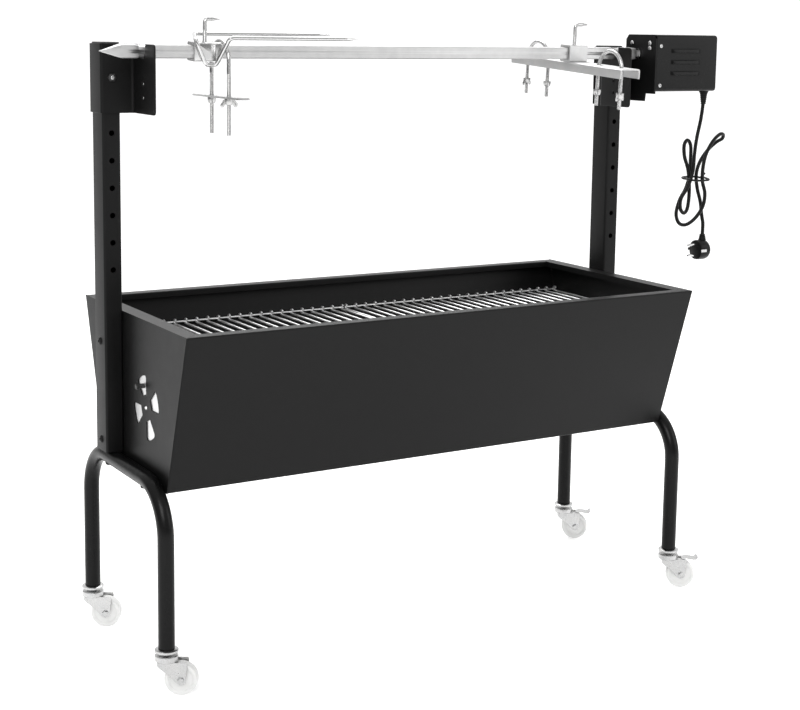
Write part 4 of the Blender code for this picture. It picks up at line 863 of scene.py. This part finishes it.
for tail, side in (("left", -1), ("right", 1)):
    low, high = post_x(side)
    across = (low + high) / 2
    outer = rounded((low, POST_Y[0]), (high, POST_Y[1]), 0.0035)
    inner = rounded((low + 0.0018, POST_Y[0] + 0.0018), (high - 0.0018, POST_Y[1] - 0.0018), 0.0018)
    tube = piece(f"post_tube_{tail}", plate([outer, inner], "Z", POST_LOW, POST_TOP), coat)
    for z in HOLES:
        drill = [(0.0004, POST_Y[0] - 0.001), (0.0044, POST_Y[0] - 0.001), (0.0044, POST_Y[0] + 0.004),
                 (0.0004, POST_Y[0] + 0.004)]
        solid(tube, turned_shape(drill, "Y", (across, 0, z), 24))
    stand_for(tube, f"post_{tail}")
    lid = piece(f"post_lid_{tail}", prism(rounded((low, POST_Y[0]), (high, POST_Y[1]), 0.0035), "Z",
                                          POST_TOP + 0.0002, POST_TOP + 0.0034), cap_plastic)
    stand_for(soften(lid, 0.0012, 3), f"post_cap_{tail}")

    inside, outside = (high, low) if side < 0 else (low, high)
    face = outside + side * (GAP + WALL)
    back, front = POST_Y[1] + GAP + WALL, POST_Y[0] - GAP - WALL
    flange = MIDDLE + side * (HALF_LENGTH - 0.020)
    line = [(inside, back), (face, back), (face, front), (flange, front), (flange, -0.0465)]
    shape = folded(line, -side * WALL, 0.0042)
    bracket = piece(f"bracket_sheet_{tail}", prism(shape, "Z", *BRACKET), coat)
    turn = np.radians(np.linspace(180, 360, 24))
    notch = np.column_stack([0.0104 * np.cos(turn), SPIT_Z + 0.0104 * np.sin(turn)])
    notch = np.vstack([[(-0.0104, BRACKET[1] + 0.002)], notch, [(0.0104, BRACKET[1] + 0.002)]])
    through = (flange - 0.006, flange + 0.006)
    solid(bracket, prism(notch, "X", *through))
    for z in (0.899, 0.878):
        solid(bracket, prism(ring_line(0.0, z, 0.0032, 24), "X", *through))
    for z, up in ((BRACKET[0], 1), (BRACKET[1], -1)):
        arc = np.radians(np.linspace(0, 90, 9))
        y, size = -0.0465, 0.006
        curve = np.column_stack([y + size - size * np.sin(arc), z + up * (size - size * np.cos(arc))])
        corner = np.vstack([[(y - 0.001, z - up * 0.001), (y + size, z - up * 0.001)], curve,
                            [(y - 0.001, z + up * size)]])
        solid(bracket, prism(corner, "X", *through))
    stand_for(soften(bracket, 0.0004), f"spit_bracket_{tail}")
    seat = front - GAP
    hexagon = [(0.0003, -0.0050), (0.0050, -0.0050), (0.0064, -0.0040), (0.0064, -0.0003), (0.0070, 0.0),
               (0.0036, 0.0), (0.0036, 0.0022), (0.0003, 0.0022)]
    hexagon = np.array(hexagon) + (0, seat)
    bolt = piece(f"bracket_screw_{tail}", turned_shape(hexagon, "Y", (across, 0, HOLES[0]), 6), cap_plastic)
    stand_for(soften(bolt, 0.0003), f"bracket_bolt_{tail}")
    tip = button(0.0034, 0.0010, (across, seat - 0.0049, HOLES[0]), "Y", -1, zinc,
                 f"bracket_screw_tip_{tail}")
    along_with(tip, f"bracket_bolt_{tail}")
    for number, z in enumerate((0.498, 0.341)):
        spot = (outside + side * 0.0001, 0.062, z)
        head = button(0.0058, 0.0028, spot, "X", side, coat, f"post_screw_{tail}_{number}")
        along_with(head, f"post_{tail}")
    for number, y in enumerate((-0.074, 0.074)):
        spot = (MIDDLE + side * (0.4703 + TUBE), y, BOTTOM_Z + 0.0004)
        head = button(0.0062, 0.0042, spot, "Z", -1, coat, f"frame_screw_{tail}_{number}")
        along_with(head, f"leg_frame_{tail}")
print("posts and brackets made")

# %% [markdown]
# ## The spit
# A square bar forged to a point, turned round where it runs in the two notches, with a smaller
# square end for the drive gear. Its section is the smaller of a square and a circle at each
# angle, so one formula in length and angle gives bar, necks, point and drive end.

# %% Spit bar
TIP = LEFT - 0.0488
NECKS = (LEFT + 0.020, RIGHT - 0.020)
BAR_END = NECKS[1] + 0.038


def bar_rings(stations, square, circle, sides=48):
    """Rings of a section that is the smaller of a square's and a circle's radius at each angle."""
    turn = (np.arange(sides) + 0.5) * 2 * np.pi / sides
    widest = np.maximum(np.abs(np.cos(turn)), np.abs(np.sin(turn)))
    radius = np.minimum(np.asarray(square)[:, None] / widest, np.asarray(circle)[:, None])
    rings = np.zeros((len(stations), sides, 3))
    rings[..., 0] = np.asarray(stations)[:, None]
    rings[..., 1] = radius * np.cos(turn)
    rings[..., 2] = SPIT_Z + radius * np.sin(turn)
    return rings


def neck_rows(middle):
    """Full, round, round and full again, with steep shoulders."""
    return [(middle - 0.0102, 0.0100, 0.0135), (middle - 0.0098, 0.0099, 0.0099),
            (middle + 0.0098, 0.0099, 0.0099), (middle + 0.0102, 0.0100, 0.0135)]


rows = [(TIP, 0.0003, 0.0004), (TIP + 0.002, 0.0009, 0.0011), (TIP + 0.032, 0.0096, 0.0130),
        (TIP + 0.034, 0.0100, 0.0135)]
rows += neck_rows(NECKS[0]) + neck_rows(NECKS[1])
rows += [(BAR_END - 0.0006, 0.0100, 0.0135), (BAR_END, 0.0094, 0.0128), (BAR_END + 0.0001, 0.0055, 0.0075),
         (BAR_END + 0.0310, 0.0055, 0.0075), (BAR_END + 0.0320, 0.0050, 0.0068)]
rows = np.array(rows)
bar = piece("spit_rod", moved(skin(bar_rings(*rows.T)), SWING), steel)
stand_for(bar, "spit_bar")
print("spit is", round(BAR_END - TIP, 3), "m long without its drive end")

# %% [markdown]
# ## Fork, leg bar and their clamp screws
# Both slide on the bar by a square sleeve and are held by a screw with a bent, flattened handle.
# The fork is one chromed rod welded to its sleeve: it comes over the sleeve, down its front,
# under it and up again, and its two prongs taper to points.


# %% Sleeves
def sleeve_shell(middle, length):
    """Square tube round the bar."""
    outer = rounded((-0.0145, SPIT_Z - 0.0145), (0.0145, SPIT_Z + 0.0145), 0.0026)
    inner = rounded((-0.0105, SPIT_Z - 0.0105), (0.0105, SPIT_Z + 0.0105), 0.0003, 2)
    return plate([outer, inner], "X", middle - length / 2, middle + length / 2)


def handle(name, middle):
    """Screw with a bent handle; its end is flattened, wider across and thinner in height."""
    foot, top = SPIT_Z + 0.0104, SPIT_Z + 0.050
    path = bend_path([(middle, 0, foot), (middle, 0, top), (middle + 0.024, 0, top)], 0.006, 10)
    stations = np.concatenate([np.linspace(0, 0.0225, 110), np.linspace(0.023, lengths(path)[-1], 40)])
    path = walk(path, stations)
    thread = 0.0033 - 0.00032 * np.abs((stations / 0.00125) % 1 * 2 - 1) * (stations < 0.0225)
    left = stations[-1] - stations
    flat = np.clip(1 - left / 0.010, 0, 1) ** 0.7
    close = np.sqrt(np.clip(left / 0.0015, 0.02, 1))
    wide = thread * (1 + 0.75 * flat) * close
    thin = thread * (1 - 0.55 * flat) * close
    return piece(name, moved(rod(path, thin, 24, other=wide), SWING), zinc)


FORK_X, LEG_BAR_X, SPINE_X = LEFT + 0.121, LEFT + 0.827, LEFT + 0.1475
HALF_SLEEVE, PRONG = 0.022, 0.0034
rise, tip_x, spread = SPIT_Z + 0.024, LEFT + 0.369, 0.0455
face, over, under = 0.0012 - 0.0145 - PRONG, SPIT_Z + 0.0145 + PRONG + 0.0005, SPIT_Z - 0.0185
corners = [(tip_x, spread, rise), (FORK_X + 0.002, spread, rise), (FORK_X - HALF_SLEEVE, face, over),
           (FORK_X - 0.005, face, under), (FORK_X + 0.012, face - 0.001, under - 0.0015),
           (FORK_X + HALF_SLEEVE, -spread, rise), (tip_x, -spread, rise)]
path = bend_path(corners, 0.006, 10)
long = lengths(path)[-1]
stations = np.concatenate([np.linspace(0, 0.03, 16), np.linspace(0.035, long - 0.035, 160),
                           np.linspace(long - 0.03, long, 16)])
prong_radius = PRONG * np.clip(np.minimum(stations, long - stations) / 0.026 + 0.06, 0.06, 1)
fork = piece("fork_wire", moved(sleeve_shell(FORK_X, 2 * HALF_SLEEVE), SWING), chrome)
screw_hole = [(0.0004, SPIT_Z), (0.0041, SPIT_Z), (0.0041, SPIT_Z + 0.03), (0.0004, SPIT_Z + 0.03)]
solid(fork, moved(turned_shape(screw_hole, "Z", (FORK_X, 0, 0), 24), SWING))
wire = rod(walk(path, stations), prong_radius, 20, across=(0.35, 0.1, 0.93))
solid(fork, moved(wire, SWING), "UNION")
stand_for(soften(fork, 0.0003, 2, 70), "spit_fork")
stand_for(handle("fork_handle", FORK_X), "fork_clamp_screw")

beam = piece("leg_bar_sleeve", moved(sleeve_shell(LEG_BAR_X, 0.038), SWING), dull_zinc)
solid(beam, moved(turned_shape(screw_hole, "Z", (LEG_BAR_X, 0, 0), 24), SWING))
top = SPIT_Z - 0.0139
line = [(LEG_BAR_X - 0.0205, top - 0.0165), (LEG_BAR_X - 0.0205, top), (LEG_BAR_X + 0.0205, top),
        (LEG_BAR_X + 0.0205, top - 0.0165)]
channel = prism(folded(line, -0.002, 0.0035), "Y", -0.160, 0.160)
solid(beam, moved(channel, SWING), "UNION")
for y in (-0.1365, -0.0735, 0.0735, 0.1365):
    drill = [(0.0004, top - 0.006), (0.0049, top - 0.006), (0.0049, top + 0.004), (0.0004, top + 0.004)]
    solid(beam, moved(turned_shape(drill, "Z", (LEG_BAR_X, y, 0), 24), SWING))
stand_for(soften(beam, 0.0003, 2, 60), "leg_bar")
stand_for(handle("leg_bar_handle", LEG_BAR_X), "leg_bar_clamp_screw")
print("fork and leg bar made")

# %% [markdown]
# ## U-bolts and wing nuts
# A U-bolt is a rod bent to a half circle whose legs are threaded. The thread is part of the
# surface: its radius falls and rises along the leg, shifted with the angle, which is a helix.


# %% U-bolts
def thread(stations, radius, start, long, sides, pitch=0.00125):
    """Radius along and round a rod: threaded within start of both ends, plain between."""
    turn = np.arange(sides) / sides
    wave = np.abs((stations[:, None] / pitch + turn) % 1 * 2 - 1)
    cut = (stations < start) | (stations > long - start)
    ends = np.clip(np.minimum(stations, long - stations) / 0.0010 + 0.55, 0, 1)
    return (radius - 0.00042 * wave * cut[:, None]) * ends[:, None]


def u_bolt(name, x, y, span, top, foot, threaded, swing):
    """Legs up from the foot, a half circle over them, and down again."""
    turn = np.linspace(np.pi, 0, 33)
    arch = top - 0.0034 - span / 2
    bend = np.column_stack([np.full(33, x), y + span / 2 * np.cos(turn), arch + span / 2 * np.sin(turn)])
    path = np.vstack([[(x, y - span / 2, foot)], bend, [(x, y + span / 2, foot)]])
    long = lengths(path)[-1]
    fine = np.linspace(0, threaded, int(threaded / 0.00125 * 6))
    stations = np.concatenate([fine, np.linspace(threaded + 0.0003, long - threaded - 0.0003, 60),
                               long - fine[::-1]])
    shell = rod(walk(path, stations), thread(stations, 0.0034, threaded, long, 18), 18, across=(1, 0, 0))
    return piece(name, moved(shell, swing), zinc)


def wing_nut(name, x, y, top, turn, swing):
    """Tapered nut with two curved wings; each wing is a bent strip, narrow at its root."""
    collar = [(0.0039, 0.0), (0.0066, 0.0), (0.0068, -0.0010), (0.0062, -0.0070), (0.0054, -0.0090),
              (0.0039, -0.0090)]
    made = piece(name, turned_shape(collar, "Z", (0, 0, 0), 32, loop=True), zinc)
    share = np.linspace(0, 1, 14)
    middle = np.column_stack([0.0052 + 0.0080 * share ** 0.8, np.zeros(14), -0.0035 - 0.0095 * share ** 1.5])
    tall = 0.0026 + 0.0014 * np.sin(share * np.pi * 0.8)
    thick = 0.0011 * np.sqrt(np.clip((1 - share) * 8, 0.1, 1))
    tall = tall * np.sqrt(np.clip((1 - share) * 6, 0.1, 1))
    wing = rod(middle, thick, 16, across=(0, 0, 1), other=tall)
    for half_turn in (0, math.pi):
        solid(made, moved(wing, Matrix.Rotation(half_turn, 4, "Z")), "UNION")
    made.data.transform(swing @ Matrix.Translation((x, y, top)) @ Matrix.Rotation(math.radians(turn), 4, "Z"))
    return made


LEVEL = Matrix.Identity(4)
corner = 0.010 * (math.cos(SPIT_TURN) + math.sin(SPIT_TURN))
spine_top = SPIT_Z + corner + 0.0005 + 0.032 + 0.0034 - math.sqrt(0.0286 ** 2 - corner ** 2)
spine = u_bolt("spine_bolt", SPINE_X, 0, 0.064, spine_top, SPIT_Z - 0.128, 0.095, LEVEL)
stand_for(spine, "spine_u_bolt")
strip = rounded((SPINE_X - 0.0105, -0.086), (SPINE_X + 0.0105, 0.086), 0.003)
holes = [ring_line(SPINE_X, side * 0.032, 0.0041, 24) for side in (-1, 1)]
strip = piece("spine_strip", plate([strip] + holes, "Z", SPIT_Z - 0.071, SPIT_Z - 0.068), zinc)
stand_for(soften(strip, 0.0004), "spine_plate")
for tail, side, turn in (("front", -1, 0), ("rear", 1, 70)):
    nut = wing_nut(f"spine_nut_{tail}", SPINE_X, side * 0.032, SPIT_Z - 0.0713, turn, LEVEL)
    stand_for(nut, f"spine_wing_nut_{tail}")
under_sleeve = SPIT_Z - 0.0145
for tail, side in (("front", -1), ("rear", 1)):
    bolt = u_bolt(f"foot_bolt_{tail}", LEG_BAR_X, side * 0.105, 0.063, under_sleeve + 0.030,
                  under_sleeve - 0.070, 0.052, SWING)
    stand_for(bolt, f"foot_u_bolt_{tail}")
    for which, leg, turn in (("outer", side, 25), ("inner", -side, 60)):
        nut = wing_nut(f"foot_nut_{tail}_{which}", LEG_BAR_X, side * 0.105 + leg * 0.0315,
                       under_sleeve - 0.042, turn, SWING)
        stand_for(nut, f"foot_wing_nut_{tail}_{which}")
print("bolts and nuts made")

# %% [markdown]
# ## Motor unit
# A plate bolted to the right bracket carries the geared motor under a folded cover. The cover is
# a rounded box whose outer end is closed; three louvres are pressed out of its front, each a
# quarter-round hood over a slot. The gears inside are left as they are and get new finishes.

# %% Motor plate and cover
plate_line = np.array([(-0.0485, 0.877), (-0.0485, 0.974), (-0.0405, 0.982), (0.0275, 0.982), (0.0355, 0.974),
                       (0.0355, 0.952), (0.0855, 0.952), (0.0855, 0.863), (-0.0205, 0.863), (-0.0225, 0.877)])
plate_holes = [ring_line(0, SPIT_Z, 0.0100, 32)] + [ring_line(y, 0.967, 0.0031, 20) for y in (-0.032, 0.018)]
low_x, high_x = (corner.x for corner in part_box("motor_mount"))
mount = piece("motor_plate", plate([plate_line] + plate_holes, "X", low_x, high_x), coat)
stand_for(soften(mount, 0.0004), "motor_mount")

COVER_LOW, COVER_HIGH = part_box("motor_cover")
front, top_z, floor_z = COVER_LOW.y, COVER_HIGH.z, COVER_LOW.z


def cover_shell():
    """Rounded section carried along X, its closed end drawn in on a small radius."""
    rings = []
    bend = np.radians(np.linspace(0, 90, 6))
    outside = [(COVER_LOW.x, 0.0)] + [(COVER_HIGH.x - 0.004 + 0.004 * math.sin(a), 0.004 * (1 - math.cos(a)))
                                      for a in bend]
    for x, shrink in outside:
        outline = rounded((front + shrink, floor_z + shrink), (COVER_HIGH.y - shrink, top_z - shrink),
                          0.006 - shrink * 0.8, 8)
        rings.append(np.column_stack([np.full(len(outline), x), outline]))
    inside = [(COVER_HIGH.x - 0.0018, 0.0015), (COVER_LOW.x, 0.0015)]
    for x, shrink in inside:
        outline = rounded((front + shrink, floor_z + shrink), (COVER_HIGH.y - shrink, top_z - shrink),
                          0.0048, 8)
        rings.append(np.column_stack([np.full(len(outline), x), outline]))
    rings = np.stack(rings)
    count = len(rings[0])
    points, faces = skin(rings, loop=True)
    outer_end, inner_end = 6 * count, 7 * count
    bridge = [f for f in faces if not (min(f) >= outer_end and max(f) < inner_end + count
                                       and any(i < inner_end for i in f))]
    bridge.append(list(range(outer_end, outer_end + count)))
    bridge.append(list(range(inner_end, inner_end + count))[::-1])
    return points, bridge


def hood(middle_x, length, z, height=0.0070, depth=0.0030):
    """Pressed louvre: across it a quarter ellipse, and its ends close on the same curve."""
    u = np.linspace(-1, 1, 25)
    v = np.linspace(0, 1, 9)
    bulge = np.sqrt(np.clip(1 - np.abs(u[:, None]) ** 6, 0, 1)) * np.sin(v[None, :] * np.pi / 2)
    outer = np.zeros((25, 9, 3))
    outer[..., 0] = middle_x + u[:, None] * length / 2
    outer[..., 1] = front - 0.0002 - depth * bulge
    outer[..., 2] = z - height * (1 - np.cos(v[None, :] * np.pi / 2))
    inner = outer.copy()
    inner[..., 1] = front + 0.0006 - (depth - 0.0009) * bulge
    inner[..., 2] -= 0.0006
    ring = np.concatenate([outer, inner[:, ::-1]], 1)
    return skin(ring)


cover = piece("motor_box", cover_shell(), tube_coat)
middle_x, slot_long = COVER_LOW.x + 0.067, 0.066
for z in (0.9575, 0.9375, 0.9175):
    outline = [(middle_x - slot_long / 2, z - 0.0072), (middle_x + slot_long / 2, z - 0.0072),
               (middle_x + slot_long / 2, z - 0.0012), (middle_x - slot_long / 2, z - 0.0012)]
    solid(cover, prism(outline, "Y", front - 0.001, front + 0.004))
exit_hole = [(0.0004, floor_z - 0.001), (0.0060, floor_z - 0.001), (0.0060, floor_z + 0.003),
             (0.0004, floor_z + 0.003)]
solid(cover, turned_shape(exit_hole, "Z", (*GLAND, 0), 32))
stand_for(soften(cover, 0.0004), "motor_cover")
hoods = merged(*[hood(middle_x, slot_long + 0.002, z) for z in (0.9575, 0.9375, 0.9175)])
along_with(piece("motor_louvres", hoods, tube_coat), "motor_cover")
for number, z in enumerate((0.962, 0.892)):
    head = button(0.0036, 0.0018, (COVER_LOW.x + 0.009, front - 0.0001, z), "Y", -1, zinc,
                  f"cover_screw_{number}")
    along_with(head, "motor_cover")
for number, (y, z) in enumerate(((-0.032, 0.967), (0.018, 0.967), (-0.032, 0.958))):
    head = button(0.0042, 0.0022, (low_x - 0.0001, y, z), "X", -1, zinc, f"plate_screw_{number}")
    along_with(head, "motor_mount")
print("motor unit made")

# %% [markdown]
# ## Finishes for the parts that keep their own shape
# Inside the cover the solids are already right, so they only change their finish.

# %% Gears and motor
for node, finish in (("drive_gear", polished), ("motor_pinion", brass), ("gear_motor", dull_zinc)):
    frame["nodes"][node].data.materials.clear()
    frame["nodes"][node].data.materials.append(finish)

# %% [markdown]
# ## Floor and light
# A pale floor that rises into a backdrop, a bright even sky, and three large soft lamps: one
# high from the left front, a weaker one from the right, and one from above and behind to draw
# the rims.

# %% Stage
def lamp(name, place, target, size, power):
    """A square soft light looking at a target."""
    light = bpy.data.lights.new(name, "AREA")
    light.shape, light.size, light.energy = "SQUARE", size, power
    made = bpy.data.objects.new(name, light)
    made.matrix_world = Matrix.Translation(place) @ (Vector(target) - Vector(place)).to_track_quat(
        "-Z", "Y").to_matrix().to_4x4()
    bpy.context.scene.collection.objects.link(made)


floor_finish, start, place, shader = new_material("pale_floor", Roughness=0.75, Specular_IOR_Level=0.2,
                                                 Emission_Strength=0.34)
mottle = noise(start, place, 3, 3.0)
connect(start, shader, Base_Color=blend(start, mottle, shade(0.90), shade(0.93)))
sweep = bend_path([(-0.0, -9.0, 0), (0.0, 9.0, 0), (0.0, 9.0, 7.0)], 3.0, 24)
wide = np.array([-11.0, 11.0])
rows = np.stack([np.column_stack([np.full(len(sweep), x), sweep[:, 1:]]) for x in wide])
rows[..., 2] -= 0.0001
spin = Matrix.Rotation(-HEADING, 4, "Z")
count = len(sweep)
index = np.arange(count - 1)
floor_mesh = bpy.data.meshes.new("floor")
floor_points = rows.reshape(-1, 3) @ np.array(spin, float)[:3, :3].T
floor_mesh.from_pydata(floor_points.tolist(), [],
                       np.stack([index, index + count, index + count + 1, index + 1], -1).tolist())
floor_mesh.polygons.foreach_set("use_smooth", np.ones(count - 1, bool))
floor_mesh.materials.append(floor_finish)
floor = bpy.data.objects.new("floor", floor_mesh)
bpy.context.scene.collection.objects.link(floor)

lamp("key", (-2.4, -2.6, 2.9), (0, 0, 0.5), 2.2, 80)
lamp("fill", (2.6, -2.2, 1.6), (0, 0, 0.5), 2.2, 26)
lamp("rim", (0.6, 1.6, 3.2), (0, 0, 0.6), 2.4, 90)
world = bpy.data.worlds.new("studio")
world.use_nodes = True
sky = world.node_tree.nodes["Background"]
start = Wire(world.node_tree)
upward = start.node("ShaderNodeSeparateXYZ", out="Z",
                    Vector=start.node("ShaderNodeTexCoord", out="Generated"))
height = start.maths("MAXIMUM", upward, 0.0)
world.node_tree.links.new(blend(start, height * 1.4, shade(0.30), shade(1.0)).socket, sky.inputs["Color"])
sky.inputs["Strength"].default_value = 0.90
bpy.context.scene.world = world
bpy.context.scene.view_settings.view_transform = "Standard"
print("stage set")
